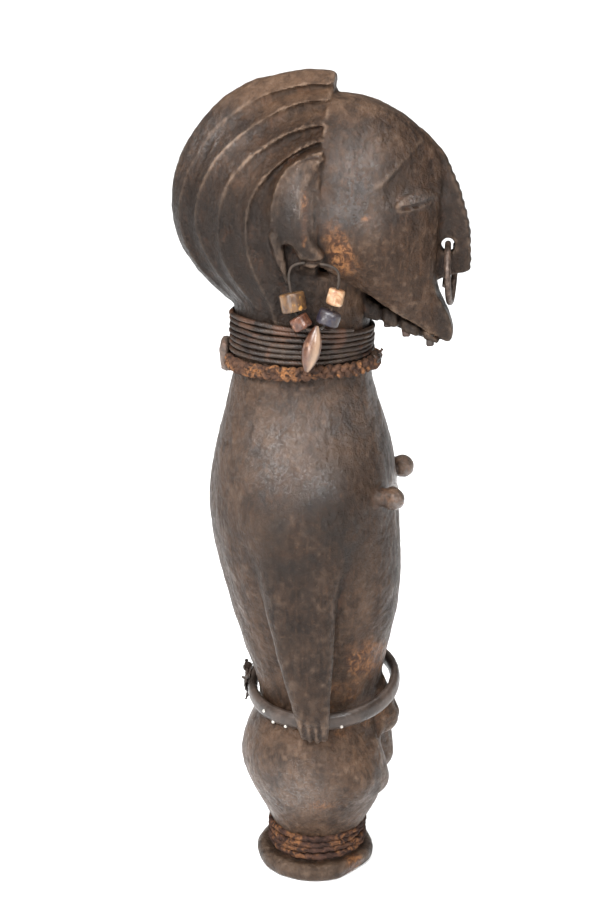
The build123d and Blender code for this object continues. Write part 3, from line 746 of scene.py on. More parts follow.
def twisted(points, radius, plies, pitch, closed, seed, wear=0.12, lay=0.44):
    """A cord of twisted plies that follows a dense path. A lower lay sinks the plies into each other."""
    p = np.asarray(points, float)
    tangent, away, up = path_frames(p, closed)
    steps = np.linalg.norm(np.diff(np.vstack([p, p[:1]]) if closed else p, axis=0), axis=1)
    run = np.concatenate([[0], np.cumsum(steps)])[:len(p)]
    total = steps.sum()
    turns = max(1, round(total / pitch)) if closed else total / pitch
    phase = 2 * pi * turns * run / total
    parts = []
    for ply in range(plies):
        angle = phase + 2 * pi * ply / plies
        out = np.cos(angle)[:, None] * away + np.sin(angle)[:, None] * up
        across = np.cross(tangent, out)
        grain = Lattice(seed + ply)
        centre = p + out * radius * lay
        thick = radius * (1.06 - lay) * (1 + wear * grain(centre, 2.3) + 0.6 * wear * grain(centre + 30, 0.9))
        verts, faces = tube_mesh(centre, out, across, thick, 7, closed)
        parts.append((verts, faces))
    return merge(parts)


def neck_cord():
    """Thin dark cord wound round the neck, uneven from turn to turn."""
    turns, per_turn = 6.9, 190
    theta = np.arange(int(turns * per_turn)) * 2 * pi / per_turn
    wobble = Lattice(41)
    count = theta / (2 * pi)
    base = np.stack([count * 3.1, np.cos(theta) * 2, np.sin(theta) * 2], axis=1)
    # The turns crowd together at the front, and spread on the right side.
    crowd = 0.96 + 0.10 * np.cos(theta + 0.5 * pi) - 0.12 * np.cos(theta)
    lift = CORD_BOTTOM + (count * CORD_RISE) * crowd - 0.5 * np.cos(theta)
    radius = NECK_RADIUS + 1.2 + 0.35 * wobble(base, 1.1) + 0.25 * wobble(base + 9, 0.4)
    height = lift + 0.30 * wobble(base + 20, 0.9)
    path = np.stack([NECK_X + radius * np.cos(theta), radius * np.sin(theta), height], axis=1)
    return new_piece("neck_cord_turns", *twisted(path, 0.98, 3, 3.6, False, 50, 0.10, 0.24))


def neck_braid():
    """A three-strand plait around the bottom of the neck, caked with clay."""
    theta = np.arange(900) * 2 * pi / 900
    wobble = Lattice(61)
    ring = np.stack([np.cos(theta) * 3, np.sin(theta) * 3, theta * 0], axis=1)
    height = BRAID_Z + 0.55 * np.cos(theta) - 1.3 * np.sin(theta) + 0.5 * wobble(ring, 1.3)
    along, aside = BRAID_RADIUS * np.cos(theta), BRAID_RADIUS * np.sin(theta)
    core = np.stack([NECK_X + 0.3 + along, aside, height], axis=1)
    _, away, up = path_frames(core, True)
    crossings = 17
    parts = []
    for strand in range(3):
        phase = crossings * theta + 2 * pi * strand / 3
        path = core + up * (1.45 * np.sin(phase))[:, None] + away * (0.55 * np.sin(2 * phase))[:, None]
        grain = Lattice(62 + strand)
        thick = 1.42 * (1 + 0.22 * grain(path, 3.0) + 0.12 * grain(path + 40, 1.1))
        verts, faces = tube_mesh(path, away, up, thick, 9, True)
        parts.append((verts, faces))
    verts, faces = merge(parts)
    rough = Lattice(66)
    verts = verts + 0.22 * np.stack([rough(verts + k * 30, 1.0) for k in range(3)], axis=1)
    crust = 0.5 + 0.5 * Lattice(67)(verts, 7.0) + 0.35 * Lattice(68)(verts, 2.2)
    return new_piece("neck_braid_plait", verts, faces, masks={"crust": np.clip(crust, 0, 1)})


def ankle_binding():
    """Coarse twisted strip wound round the ankle above the foot."""
    turns, per_turn = 4.1, 150
    theta = np.arange(int(turns * per_turn)) * 2 * pi / per_turn
    count = theta / (2 * pi)
    wobble = Lattice(71)
    base = np.stack([count * 2.7, np.cos(theta) * 2, np.sin(theta) * 2], axis=1)
    radius = ANKLE_RADIUS + 0.35 * wobble(base, 1.0)
    height = ANKLE_BOTTOM + count * ANKLE_RISE + 0.45 * wobble(base + 20, 0.8)
    path = np.stack([ANKLE_X + radius * np.cos(theta + 2.4), radius * np.sin(theta + 2.4), height], axis=1)
    verts, faces = twisted(path, 1.40, 2, 9.0, False, 72, 0.22, 0.22)
    crust = 0.5 + 0.5 * Lattice(75)(verts, 6.0) + 0.3 * Lattice(76)(verts, 1.8)
    return new_piece("ankle_binding_turns", verts, faces, masks={"crust": np.clip(crust, 0, 1)})


def lump(name, centre, half, seed, tilt=0.0, rough=0.12, power=2.6, wraps=0):
    """A rounded knot or pad of leather, roughened, with cord marks round it."""
    mesh = bmesh.new()
    bmesh.ops.create_icosphere(mesh, subdivisions=5, radius=1.0)
    verts = np.array([v.co[:] for v in mesh.verts])
    faces = [[v.index for v in f.verts] for f in mesh.faces]
    mesh.free()
    q = (np.abs(verts) ** power).sum(1) ** (1 / power)
    verts = verts / q[:, None] * np.array(half)
    noise = Lattice(seed)
    size = min(half)
    bulge = rough * size * (noise(verts, size * 0.9) + 0.5 * noise(verts + 30, size * 0.35))
    if wraps:
        phase = verts[:, 2] / half[2] * wraps * pi / 2 + 0.4 * noise(verts, size)
        bulge += 0.13 * size * np.abs(np.sin(phase))
    direction = verts / np.linalg.norm(verts, axis=1, keepdims=True)
    verts = verts + direction * bulge[:, None]
    spin = np.array(Matrix.Rotation(tilt, 3, "X"))
    return new_piece(name, verts @ spin.T + np.array(centre), faces)


def nape_tie():
    """The leather strip's folded end at the nape."""
    return [lump("nape_tie_fold", (-34.3, -2.0, 214.4), (2.2, 5.2, 6.2), 81, 0.2, 0.16, 2.8),
            lump("nape_tie_knot", (-33.6, -4.2, 209.8), (2.0, 3.0, 1.8), 82, -0.4, 0.2, 2.2, 2)]


def throat_knot():
    """A small knot at the throat, with a wisp of fibre standing up from it."""
    knot = lump("throat_knot_head", (23.0, -5.0, 215.2), (2.0, 2.6, 2.3), 83, 0.5, 0.2, 2.2, 3)
    wisp = [(23.4, -5.4, 215.6), (24.6, -5.8, 217.0), (25.0, -5.2, 218.0), (25.4, -5.6, 218.6)]
    line = smooth_line(wisp, 3)
    steps = np.linspace(0, 1, 50)
    dense = np.stack([np.interp(steps, np.linspace(0, 1, len(line)), line[:, c]) for c in range(3)], axis=1)
    return [knot, new_piece("throat_knot_end", *twisted(dense, 0.6, 2, 2.6, False, 84))]


# ------------------------------------------------------------------ waist hoop
def hoop_matrix():
    """Where the hoop lies: tilted so that the figure's right side is lower."""
    tilt_x, tilt_y = (radians(tilt) for tilt in HOOP_TILT)
    return np.array(Matrix.Rotation(tilt_x, 3, "X") @ Matrix.Rotation(tilt_y, 3, "Y"))


def waist_hoop():
    """A stiff band of hide bent into a hoop, its thickness uneven."""
    theta = np.arange(360) * 2 * pi / 360
    phi = np.arange(26) * 2 * pi / 26
    noise = Lattice(91)
    t, p = np.meshgrid(theta, phi, indexing="ij")
    bulge = np.stack([np.cos(t) * 3, np.sin(t) * 3, np.sin(p) * 0.6], axis=-1).reshape(-1, 3)
    scale = (1 + 0.035 * noise(bulge, 0.8) - 0.03).reshape(t.shape)
    thick, tall = HOOP_THICK * scale, HOOP_TALL * scale
    # The band's outer face has two soft ridges, as folded hide has.
    fold = 1 - 0.07 * np.exp(-((np.sin(p) - 0.15) / 0.16) ** 2) * (np.cos(p) > 0)
    r = HOOP_RADIUS + thick * np.cos(p) * fold
    z = tall * np.sign(np.sin(p)) * np.abs(np.sin(p)) ** 0.92
    verts = np.stack([r * np.cos(t), r * np.sin(t), z], axis=-1).reshape(-1, 3)
    rough = Lattice(92)
    direction = np.stack([np.cos(t) * np.cos(p), np.sin(t) * np.cos(p), np.sin(p)], axis=-1).reshape(-1, 3)
    verts = verts + direction * (0.10 * rough(verts, 2.4) + 0.05 * rough(verts + 40, 0.9))[:, None]
    n, m = t.shape
    a, b = np.meshgrid(np.arange(n), np.arange(m), indexing="ij")
    a2, b2 = (a + 1) % n, (b + 1) % m
    quads = np.stack([a * m + b, a2 * m + b, a2 * m + b2, a * m + b2], axis=-1).reshape(-1, 4)
    verts = verts @ hoop_matrix().T + np.array(HOOP_CENTRE)
    return new_piece("waist_hoop_band", verts, quads.tolist())


def torn_flap(name, turn, width, bottom, top, out, seed):
    """A torn tongue of hide on the back of the hoop, lifting out towards its ragged end."""
    rows, columns = 26, 22
    lattice = Lattice(seed)

    def noise(a, b):
        return lattice([[a, b, seed]], 1.0)[0]

    verts = []
    for layer in (0, 1):
        for i in range(rows):
            for j in range(columns):
                u, v = i / (rows - 1), j / (columns - 1)
                ragged = 0.9 * noise(j * 0.45, 0.0) + 0.5 * noise(j * 1.1, 5.0)
                angle = turn + (v - 0.5) * width * (1 + 0.25 * noise(0.0, i * 0.4))
                height = bottom + (top - bottom) * u + ragged * u
                hug = sqrt(max(0.0, 1 - min(1.0, abs(height) / 3.9) ** 2))
                lift = out * u ** 1.6 + 0.3 * noise(i * 0.35, j * 0.35)
                r = HOOP_RADIUS + 2.2 * hug + 0.3 + max(lift, 0.0) + (0.9 - 0.5 * u) * layer
                verts.append((r * cos(angle), r * sin(angle), height))
    faces = []
    size = rows * columns
    for i in range(rows - 1):
        for j in range(columns - 1):
            a = i * columns + j
            faces.append([a, a + columns, a + columns + 1, a + 1])
            faces.append([size + a, size + a + 1, size + a + columns + 1, size + a + columns])
    rim = list(range(columns)) + [i * columns + columns - 1 for i in range(1, rows)]
    rim += [(rows - 1) * columns + j for j in range(columns - 2, -1, -1)]
    rim += [i * columns for i in range(rows - 2, 0, -1)]
    for a, b in zip(rim, rim[1:] + rim[:1]):
        faces.append([a, b, size + b, size + a])
    verts = np.array(verts) @ hoop_matrix().T + np.array(HOOP_CENTRE)
    return new_piece(name, verts, faces)


# Name, turn in degrees, width in radians, start and end height, how far it lifts, and seed.
TORN_FLAPS = [
    ("hoop_wrap_upper", 180, 0.34, -1.6, 4.6, 0.3, 91),
    ("hoop_wrap_lower", 180, 0.34, 1.6, -4.8, 0.3, 92),
    ("hoop_flap_upper", 177, 0.19, 1.0, 6.4, 3.0, 93),
    ("hoop_flap_lower", 183, 0.17, -1.4, -6.8, 3.0, 97),
    ("hoop_flap_middle", 180, 0.05, -0.6, 0.6, 1.8, 98),
]


def hoop_lashing():
    """The hoop's torn ends: a wrap round it, two ragged tongues and a thin splinter between them."""
    return [torn_flap(name, radians(turn), *rest) for name, turn, *rest in TORN_FLAPS]


# ------------------------------------------------------------------ teeth
TOOTH_SPOTS = [(27.0, 230.9), (33.9, 227.7), (42.9, 224.2)]
TOOTH_LENGTH, TOOTH_RADIUS, TOOTH_SIDES = 4.3, 1.62, 16


def jaw_pegs():
    """Short blunt pegs under the lower jaw, squarish and uneven."""
    parts = []
    for side in (-1, 1):
        for number, (x, z) in enumerate(TOOTH_SPOTS):
            start = np.array([x, 3.6 * side, z])
            along = np.array([0.08, 0.15 * side, -1.0])
            along /= np.linalg.norm(along)
            t = np.linspace(0, 1, 14)
            path = start + along * (t * (TOOTH_LENGTH + 0.2 * (number % 2)))[:, None]
            across = np.cross(along, [0, 1, 0])
            across /= np.linalg.norm(across)
            other = np.cross(along, across)
            grain = Lattice(101 + number + 10 * (side > 0))
            thick = TOOTH_RADIUS * (1 - 0.10 * t) * (1 + 0.08 * grain(path, 1.3))
            thick[-1], thick[-2] = 1.0, 1.4
            out, up = (np.tile(way, (len(path), 1)) for way in (across, other))
            verts, faces = tube_mesh(path, out, up, thick, TOOTH_SIDES, False)
            # The round section is pressed towards a square one.
            offset = verts - np.repeat(path, TOOTH_SIDES, axis=0)
            big = np.maximum(np.abs(offset @ across), np.abs(offset @ other))
            square = np.linalg.norm(offset, axis=1) / (big + 1e-6)
            verts = verts + offset * (0.45 * (square - 1))[:, None]
            verts = verts + 0.08 * np.stack([grain(verts + 20 * k, 0.8) for k in range(3)], axis=1)
            parts.append((verts, faces))
    return new_piece("jaw_peg_teeth", *merge(parts))


# ------------------------------------------------------------------ ear loops
# The string's route in the loop's own plane: forward of the lobe's bore, and height.
STRING_ROUTE = [
    (5.0, 255.0),
    (11.0, 254.5),
    (12.3, 249.3),
    (9.9, 239.9),
    (7.3, 232.3),
    (0.6, 230.9),
    (-3.5, 237.3),
    (-5.3, 245.2),
    (-6.4, 251.4),
    (-4.4, 255.0),
    (-0.5, 255.2),
]
STRING = 1.0
BEAD_BORE = 1.15
# Run of the route, how far along it, radius, length, squareness, end rounding and unevenness.
BEADS = {
    "white_bead": (2, 0.62, 3.4, 6.0, 3.4, 1.1, 0.05),
    "blue_bead": (3, 0.50, 4.5, 5.6, 2.5, 1.3, 0.05),
    "red_bead": (5, 0.50, 3.8, 5.2, 2.3, 0.9, 0.07),
    "amber_bead": (6, 0.50, 4.7, 7.0, 2.1, 0.8, 0.035),
}
SHELL_TOP = (4.4, 233.2)
SHELL_TIP = (0.9, 216.6)


def in_loop(x, z, side):
    """A point of the hanging loop on one side, in millimetres."""
    return np.array([x, side * (EAR_Y + (LOBE_Z - z) * STRING_LEAN), z])


def turned(profile, centre, axis, squareness, unevenness, seed, sides=48):
    """A bored bead turned about an axis, squared and made uneven."""
    axis = np.array(axis, float) / np.linalg.norm(axis)
    u = np.cross(axis, [0, 1, 0])
    u /= np.linalg.norm(u)
    w = np.cross(axis, u)
    turn = 2 * pi * np.arange(sides) / sides
    ring = (np.abs(np.cos(turn)) ** squareness + np.abs(np.sin(turn)) ** squareness) ** (-1 / squareness)
    ring /= ring.max()
    noise = Lattice(seed)
    verts = []
    for radius, along in profile:
        r = BEAD_BORE + (radius - BEAD_BORE) * ring
        circle = (r * np.cos(turn))[:, None] * u + (r * np.sin(turn))[:, None] * w
        verts.append(centre + axis * along + circle)
    verts = np.vstack(verts)
    offset = verts - centre
    far = np.linalg.norm(np.cross(offset, axis), axis=1)
    outer = np.clip((far - BEAD_BORE - 0.1) / 1.5, 0, 1)
    grain = noise(verts, 2.6) + 0.5 * noise(verts + 20, 1.0)
    outward = offset / np.linalg.norm(offset, axis=1, keepdims=True)
    verts = verts + outward * (outer * unevenness * far * (grain - 0.9))[:, None]
    n = len(profile)
    faces = []
    for i in range(n):
        for j in range(sides):
            a, b = i * sides + j, i * sides + (j + 1) % sides
            c, d = ((i + 1) % n) * sides + (j + 1) % sides, ((i + 1) % n) * sides + j
            faces.append([a, b, c, d])
    return verts, faces


def bead_profile(radius, length, rounding):
    """The closed outline of half a bead's section: out over its ends and back through its bore."""
    half = length / 2
    points = [(BEAD_BORE, half - 0.25), (BEAD_BORE + 0.25, half), (radius - rounding, half)]
    points += [(radius - rounding + rounding * sin(t), half - rounding + rounding * cos(t)) for t in
               np.linspace(pi / 10, pi / 2, 5)]
    points += [(radius, z) for z in np.linspace(half - rounding, -half + rounding, 6)[1:-1]]
    points += [(radius - rounding + rounding * cos(t), -half + rounding - rounding * sin(t)) for t in
               np.linspace(0, pi / 2 - pi / 10, 5)]
    points += [(radius - rounding, -half), (BEAD_BORE + 0.25, -half), (BEAD_BORE, -half + 0.25)]
    points += [(BEAD_BORE, z) for z in np.linspace(-half + 0.8, half - 0.8, 4)]
    return points


def shell_pendant(name, side, axis_low):
    """A narrow polished shell with a long slit and a paler lip."""
    top, tip = in_loop(*SHELL_TOP, side), in_loop(*SHELL_TIP, side)
    axis = (top - tip) / np.linalg.norm(top - tip)
    length = np.linalg.norm(top - tip)
    out = np.cross(axis, axis_low)
    out /= np.linalg.norm(out)
    out = out * (1 if out[1] * side > 0 else -1)
    across = np.cross(axis, out)
    across = across * (1 if across[0] > 0 else -1)
    rings, sides = 64, 56
    noise = Lattice(121)
    verts = []
    for i in range(rings):
        t = i / (rings - 1)
        body = sin(pi * min(1.0, max(0.0, 0.03 + 0.94 * t))) ** 0.72
        radius = 3.35 * body * (1 - 0.10 * (t - 0.5))
        for j in range(sides):
            a = 2 * pi * j / sides
            lip = np.exp(-((a - 0.62) / 0.20) ** 2)
            slit = np.exp(-((a - 0.36) / 0.12) ** 2) * step_between(0.06, 0.2, t) * step_between(0.96, 0.8, t)
            r = radius * (1 + 0.10 * lip - 0.26 * slit) * (1 + 0.02 * noise([[t * 9, j * 0.2, 0]], 1.0)[0])
            verts.append(tip + axis * t * length + out * (r * sin(a) * 0.86) + across * (r * cos(a)))
    faces = []
    for i in range(rings - 1):
        for j in range(sides):
            a, b = i * sides + j, i * sides + (j + 1) % sides
            faces.append([a, b, b + sides, a + sides])
    faces.append(list(range(sides))[::-1])
    faces.append(list(range((rings - 1) * sides, rings * sides)))
    lip_mask = [float(np.exp(-((2 * pi * (k % sides) / sides - 0.9) / 0.55) ** 2)) for k in range(len(verts))]
    return new_piece(name, np.array(verts), faces, masks={"lip": lip_mask})


def ear_loop(name, side):
    """One hanging loop: its string, four beads and a shell."""
    route = [in_loop(x, z, side) for x, z in STRING_ROUTE]
    curve = bpy.data.curves.new(f"{name}_string_curve", "CURVE")
    curve.dimensions = "3D"
    spline = curve.splines.new("NURBS")
    spline.points.add(len(route) - 1)
    for point, where in zip(spline.points, route):
        point.co = (*(where * MM), 1.0)
    spline.order_u = 3
    spline.use_endpoint_u = True
    spline.resolution_u = 8
    curve.bevel_depth = STRING / 2 * MM
    curve.bevel_resolution = 3
    curve.use_fill_caps = True
    string = bpy.data.objects.new(f"{name}_string_line", curve)
    bpy.context.scene.collection.objects.link(string)
    pieces = {"ear_string": string}
    for number, (bead, (run, along, radius, length, square, rounding, uneven)) in enumerate(BEADS.items()):
        start, end = route[run], route[run + 1]
        centre = start + (end - start) * along
        outline = bead_profile(radius, length, rounding)
        verts, faces = turned(outline, centre, end - start, square, uneven, 110 + number)
        pieces[bead] = new_piece(f"{name}_{bead}_drum", verts, faces)
    pieces["shell_pendant"] = shell_pendant(f"{name}_shell_body", side, route[5] - route[4])
    return pieces, route


# ------------------------------------------------------------------ materials
class Surface:
    """A node material built a step at a time around one principled shader."""

    def __init__(self, name):
        self.material = bpy.data.materials.new(name)
        self.material.use_nodes = True
        self.tree = self.material.node_tree
        self.shader = self.tree.nodes["Principled BSDF"]
        self.place = self.node("ShaderNodeTexCoord").outputs["Object"]

    def node(self, kind, **settings):
        """Add a node of one kind, with its settings."""
        made = self.tree.nodes.new(kind)
        for key, value in settings.items():
            setattr(made, key, value)
        return made

    def link(self, source, target):
        """Join an output to an input."""
        self.tree.links.new(source, target)

    def feed(self, socket, value):
        """Link a socket to another node's output, or set it to a number or colour."""
        if isinstance(value, bpy.types.NodeSocket):
            self.link(value, socket)
        else:
            socket.default_value = value

    def noise(self, size, detail=4.0, roughness=0.6, stretch=(1, 1, 1), distortion=0.0, seed=0.0):
        """Noise whose features are about size millimetres."""
        mapping = self.node("ShaderNodeMapping")
        mapping.inputs["Scale"].default_value = stretch
        mapping.inputs["Location"].default_value = (seed, seed * 0.7, seed * 1.3)
        self.link(self.place, mapping.inputs["Vector"])
        made = self.node("ShaderNodeTexNoise")
        made.inputs["Scale"].default_value = 1000.0 / size
        made.inputs["Detail"].default_value = detail
        made.inputs["Roughness"].default_value = roughness
        made.inputs["Distortion"].default_value = distortion
        self.link(mapping.outputs["Vector"], made.inputs["Vector"])
        return made.outputs["Fac"]

    def cells(self, size, feature="F1", stretch=(1, 1, 1)):
        """Distance to scattered points about size millimetres apart."""
        mapping = self.node("ShaderNodeMapping")
        mapping.inputs["Scale"].default_value = stretch
        self.link(self.place, mapping.inputs["Vector"])
        made = self.node("ShaderNodeTexVoronoi", feature=feature)
        made.inputs["Scale"].default_value = 1000.0 / size
        self.link(mapping.outputs["Vector"], made.inputs["Vector"])
        return made.outputs["Distance"]

    def mask(self, name):
        """A value stored at the mesh's vertices."""
        return self.node("ShaderNodeAttribute", attribute_name=name).outputs["Fac"]

    def ramp(self, source, low, high, start=0.0, end=1.0):
        """Map low..high of a value smoothly onto start..end."""
        made = self.node("ShaderNodeMapRange", interpolation_type="SMOOTHSTEP")
        self.feed(made.inputs["Value"], source)
        for socket, value in zip(("From Min", "From Max", "To Min", "To Max"), (low, high, start, end)):
            made.inputs[socket].default_value = value
        return made.outputs["Result"]

    def math(self, operation, a, b=0.0, clamp=False):
        """Arithmetic on two values."""
        made = self.node("ShaderNodeMath", operation=operation, use_clamp=clamp)
        self.feed(made.inputs[0], a)
        self.feed(made.inputs[1], b)
        return made.outputs["Value"]

    def times(self, a, b, clamp=False):
        """One value multiplied by another."""
        return self.math("MULTIPLY", a, b, clamp)

    def mix(self, factor, a, b):
        """Mix two colours."""
        made = self.node("ShaderNodeMix", data_type="RGBA")
        self.feed(made.inputs["Factor"], factor)
        for socket, value in (("A", a), ("B", b)):
            target = [s for s in made.inputs if s.name == socket and s.type == "RGBA"][0]
            self.feed(target, value if isinstance(value, bpy.types.NodeSocket) else (*value, 1.0))
        return [s for s in made.outputs if s.type == "RGBA"][0]

    def bumps(self, layers):
        """Stack bump layers of height, strength and depth in millimetres."""
        normal = None
        for height, strength, depth in layers:
            made = self.node("ShaderNodeBump")
            made.inputs["Strength"].default_value = strength
            made.inputs["Distance"].default_value = depth * MM
            self.link(height, made.inputs["Height"])
            if normal is not None:
                self.link(normal, made.inputs["Normal"])
            normal = made.outputs["Normal"]
        self.link(normal, self.shader.inputs["Normal"])
        self.link(normal, self.shader.inputs["Coat Normal"])

    def finish(self, colour, roughness, **fixed):
        """Set the shader's colour, roughness and fixed values, and give back the material."""
        self.feed(self.shader.inputs["Base Color"], colour)
        self.feed(self.shader.inputs["Roughness"], roughness)
        for socket, value in fixed.items():
            self.shader.inputs[socket.replace("_", " ")].default_value = value
        return self.material


def carved_wood():
    """Old dark hardwood: greasy black patina, pitted, rubbed and given a painted highlight on its edges, warmer
    where it wore through, with painted shade in its mouth, at its nape and on the front of its nose.
    """
    s = Surface("carved_wood")
    grain = s.noise(1.5, 6, 0.66, (1.0, 1.0, 0.14))
    cloud = s.noise(30, 4, 0.6, (1, 1, 0.7), 0.4)
    patch = s.noise(5.5, 9, 0.76, (1, 1, 0.7), 0.5, 3.0)
    crust = s.noise(1.3, 6, 0.72, (1, 1, 1), 0.2, 5.0)
    dents = s.noise(3.4, 2, 0.5, (1, 1, 0.8), 0.3, 14.0)
    specks = s.noise(0.55, 3, 0.7, (1, 1, 1), 0.0, 9.0)
    chalk = s.noise(0.8, 4, 0.75, (1, 1, 1), 0.0, 21.0)
    base = s.mix(s.ramp(cloud, 0.34, 0.66), (0.0074, 0.0037, 0.0021), (0.0150, 0.0078, 0.0043))
    base = s.mix(s.ramp(patch, 0.42, 0.64, 0.0, 0.85), base, (0.0290, 0.0154, 0.0088))
    base = s.mix(s.ramp(grain, 0.50, 0.70, 0.0, 0.6), base, (0.0430, 0.0226, 0.0125))
    pale = s.times(s.mask("pale"), s.ramp(patch, 0.32, 0.62, 0.25, 1.0))
    base = s.mix(pale, base, (0.0780, 0.0445, 0.0262))
    base = s.mix(s.ramp(crust, 0.56, 0.66, 0.0, 0.50), base, (0.0660, 0.0385, 0.0230))
    # Edges are lightened both for rubbed wear and as a painted highlight along ridges and arrises.
    worn = s.times(s.mask("edge"), s.ramp(patch, 0.34, 0.60, 0.10, 0.90))
    base = s.mix(worn, base, (0.1200, 0.0790, 0.0540))
    # The dark mask lays painted shade in the mouth, at the nape and on the front of the nose and chin, and
    # darkens the arms, foot, backs and breasts.
    base = s.mix(s.times(s.mask("dark"), 0.8), base, (0.0056, 0.0040, 0.0032))
    # A darker patch over the upper arms.
    upper_arm_dark = s.times(s.mask("upper_arm_dark"), s.ramp(patch, 0.36, 0.56, 0.35, 0.9))
    base = s.mix(upper_arm_dark, base, (0.0060, 0.0044, 0.0036))
    base = s.mix(s.ramp(chalk, 0.63, 0.71, 0.0, 0.36), base, (0.1400, 0.0950, 0.0640))
    base = s.mix(s.ramp(specks, 0.34, 0.24, 0.0, 0.8), base, (0.0046, 0.0033, 0.0026))
    base = s.mix(s.times(s.mask("hollow"), 0.85), base, (0.0052, 0.0035, 0.0027))
    rust = s.times(s.mask("hollow"), s.ramp(patch, 0.50, 0.60, 0.0, 0.8))
    base = s.mix(rust, base, (0.0627, 0.0264, 0.0125))
    amber = s.noise(2.6, 6, 0.74, (1, 1, 0.8), 0.9, 12.0)
    resin = s.mix(s.ramp(amber, 0.44, 0.60), (0.0300, 0.0125, 0.0064), (0.1450, 0.0640, 0.0250))
    base = s.mix(s.times(s.mask("warm"), s.ramp(crust, 0.34, 0.52, 0.25, 1.0)), base, resin)
    gloss = s.mask("gloss")
    rough = s.math("SUBTRACT", s.ramp(patch, 0.3, 0.7, 0.50, 0.34), s.times(gloss, 0.14))
    rough = s.math("ADD", rough, s.times(s.mask("hollow"), 0.22))
    rough = s.math("ADD", rough, s.ramp(crust, 0.4, 0.7, -0.08, 0.12), True)
    s.bumps([
        (grain, 0.55, 0.35), (patch, 0.70, 0.75), (dents, 0.85, 1.30), (crust, 0.95, 0.60),
        (specks, 0.70, 0.18),
    ])
    s.feed(s.shader.inputs["Coat Weight"], s.times(gloss, s.ramp(crust, 0.42, 0.66, 1.0, 0.10), True))
    return s.finish(base, rough, Specular_IOR_Level=0.12, Coat_Roughness=0.17)


def cord_leather(name, dark, light, red, rough):
    """Greasy cord or hide strip, darker in its lay and rubbed on top."""
    s = Surface(name)
    fine = s.noise(0.7, 4, 0.7)
    patch = s.noise(6.0, 5, 0.65, (1, 1, 1), 0.5, 2.0)
    warm = s.noise(11.0, 3, 0.6, (1, 1, 1), 0.3, 7.0)
    base = s.mix(s.ramp(patch, 0.36, 0.66), dark, light)
    base = s.mix(s.ramp(warm, 0.50, 0.66, 0.0, 0.75), base, red)
    base = s.mix(s.ramp(fine, 0.52, 0.72, 0.0, 0.5), base, tuple(min(1, 1.7 * c) for c in light))
    s.bumps([(patch, 0.3, 0.4), (fine, 0.6, 0.18)])
    return s.finish(base, s.ramp(fine, 0.3, 0.7, rough, rough + 0.24), Specular_IOR_Level=0.26)


def clay_cord(name, dark, clay, bright):
    """Plaited or wound fibre, caked here and there with orange clay."""
    s = Surface(name)
    fine = s.noise(0.6, 5, 0.75)
    lump = s.noise(2.4, 5, 0.7, (1, 1, 1), 0.7, 4.0)
    base = s.mix(s.ramp(lump, 0.32, 0.68), dark, clay)
    crust = s.times(s.ramp(s.mask("crust"), 0.45, 0.80), s.ramp(lump, 0.42, 0.62))
    base = s.mix(crust, base, bright)
    base = s.mix(s.ramp(fine, 0.36, 0.26, 0.0, 0.8), base, (0.022, 0.013, 0.008))
    s.bumps([(lump, 0.6, 0.6), (fine, 0.7, 0.22)])
    return s.finish(base, s.ramp(fine, 0.3, 0.7, 0.62, 0.9), Specular_IOR_Level=0.10)


def hide():
    """Stiff grey-brown hide with fine cracks and rubbed ridges."""
    s = Surface("hide_band")
    crack = s.cells(3.0, "DISTANCE_TO_EDGE", (1, 1, 1.6))
    patch = s.noise(12, 5, 0.62, (1, 1, 1), 0.3, 1.0)
    fine = s.noise(0.9, 4, 0.7)
    base = s.mix(s.ramp(patch, 0.36, 0.66), (0.016, 0.0115, 0.0092), (0.044, 0.0310, 0.0245))
    base = s.mix(s.ramp(fine, 0.55, 0.75, 0.0, 0.4), base, (0.105, 0.080, 0.066))
    base = s.mix(s.ramp(crack, 0.0, 0.035, 0.55, 0.0), base, (0.016, 0.012, 0.010))
    s.bumps([(s.ramp(crack, 0.0, 0.06), 0.22, 0.16), (patch, 0.3, 0.5), (fine, 0.45, 0.12)])
    return s.finish(base, s.ramp(patch, 0.3, 0.7, 0.26, 0.44), Specular_IOR_Level=0.22)


def old_iron():
    """Hand-forged wire, brown-black with rust in its pits."""
    s = Surface("old_iron")
    patch = s.noise(3.2, 5, 0.7, (1, 1, 1), 0.4)
    fine = s.noise(0.6, 4, 0.75, (1, 1, 1), 0.0, 3.0)
    base = s.mix(s.ramp(patch, 0.40, 0.62), (0.026, 0.018, 0.014), (0.058, 0.036, 0.025))
    base = s.mix(s.ramp(fine, 0.54, 0.70, 0.0, 0.7), base, (0.095, 0.048, 0.025))
    metal = s.ramp(patch, 0.40, 0.60, 0.75, 0.25)
    s.feed(s.shader.inputs["Metallic"], metal)
    s.bumps([(patch, 0.4, 0.35), (fine, 0.6, 0.14)])
    return s.finish(base, s.ramp(fine, 0.3, 0.7, 0.38, 0.62))


def stone_bead(name, deep, body, light, stain, rough, stain_reach):
    """A worn trade bead: cloudy body, dirt and stain in its pits, polished high spots."""
    s = Surface(name)
    cloud = s.noise(4.0, 4, 0.6, (1, 1, 1), 0.8)
    vein = s.noise(2.2, 6, 0.7, (1, 1, 0.5), 1.2, 6.0)
    fine = s.noise(0.5, 3, 0.7, (1, 1, 1), 0.0, 2.0)
    base = s.mix(s.ramp(cloud, 0.36, 0.64), deep, body)
    base = s.mix(s.ramp(vein, 0.55, 0.68, 0.0, 0.75), base, light)
    base = s.mix(s.ramp(vein, 1.0 - stain_reach, 0.34, 0.0, 0.85), base, stain)
    base = s.mix(s.ramp(fine, 0.34, 0.26, 0.0, 0.6), base, tuple(0.3 * c for c in deep))
    s.bumps([(vein, 0.3, 0.22), (fine, 0.3, 0.08)])
    return s.finish(base, s.ramp(fine, 0.3, 0.7, rough, rough + 0.16), Specular_IOR_Level=0.30)


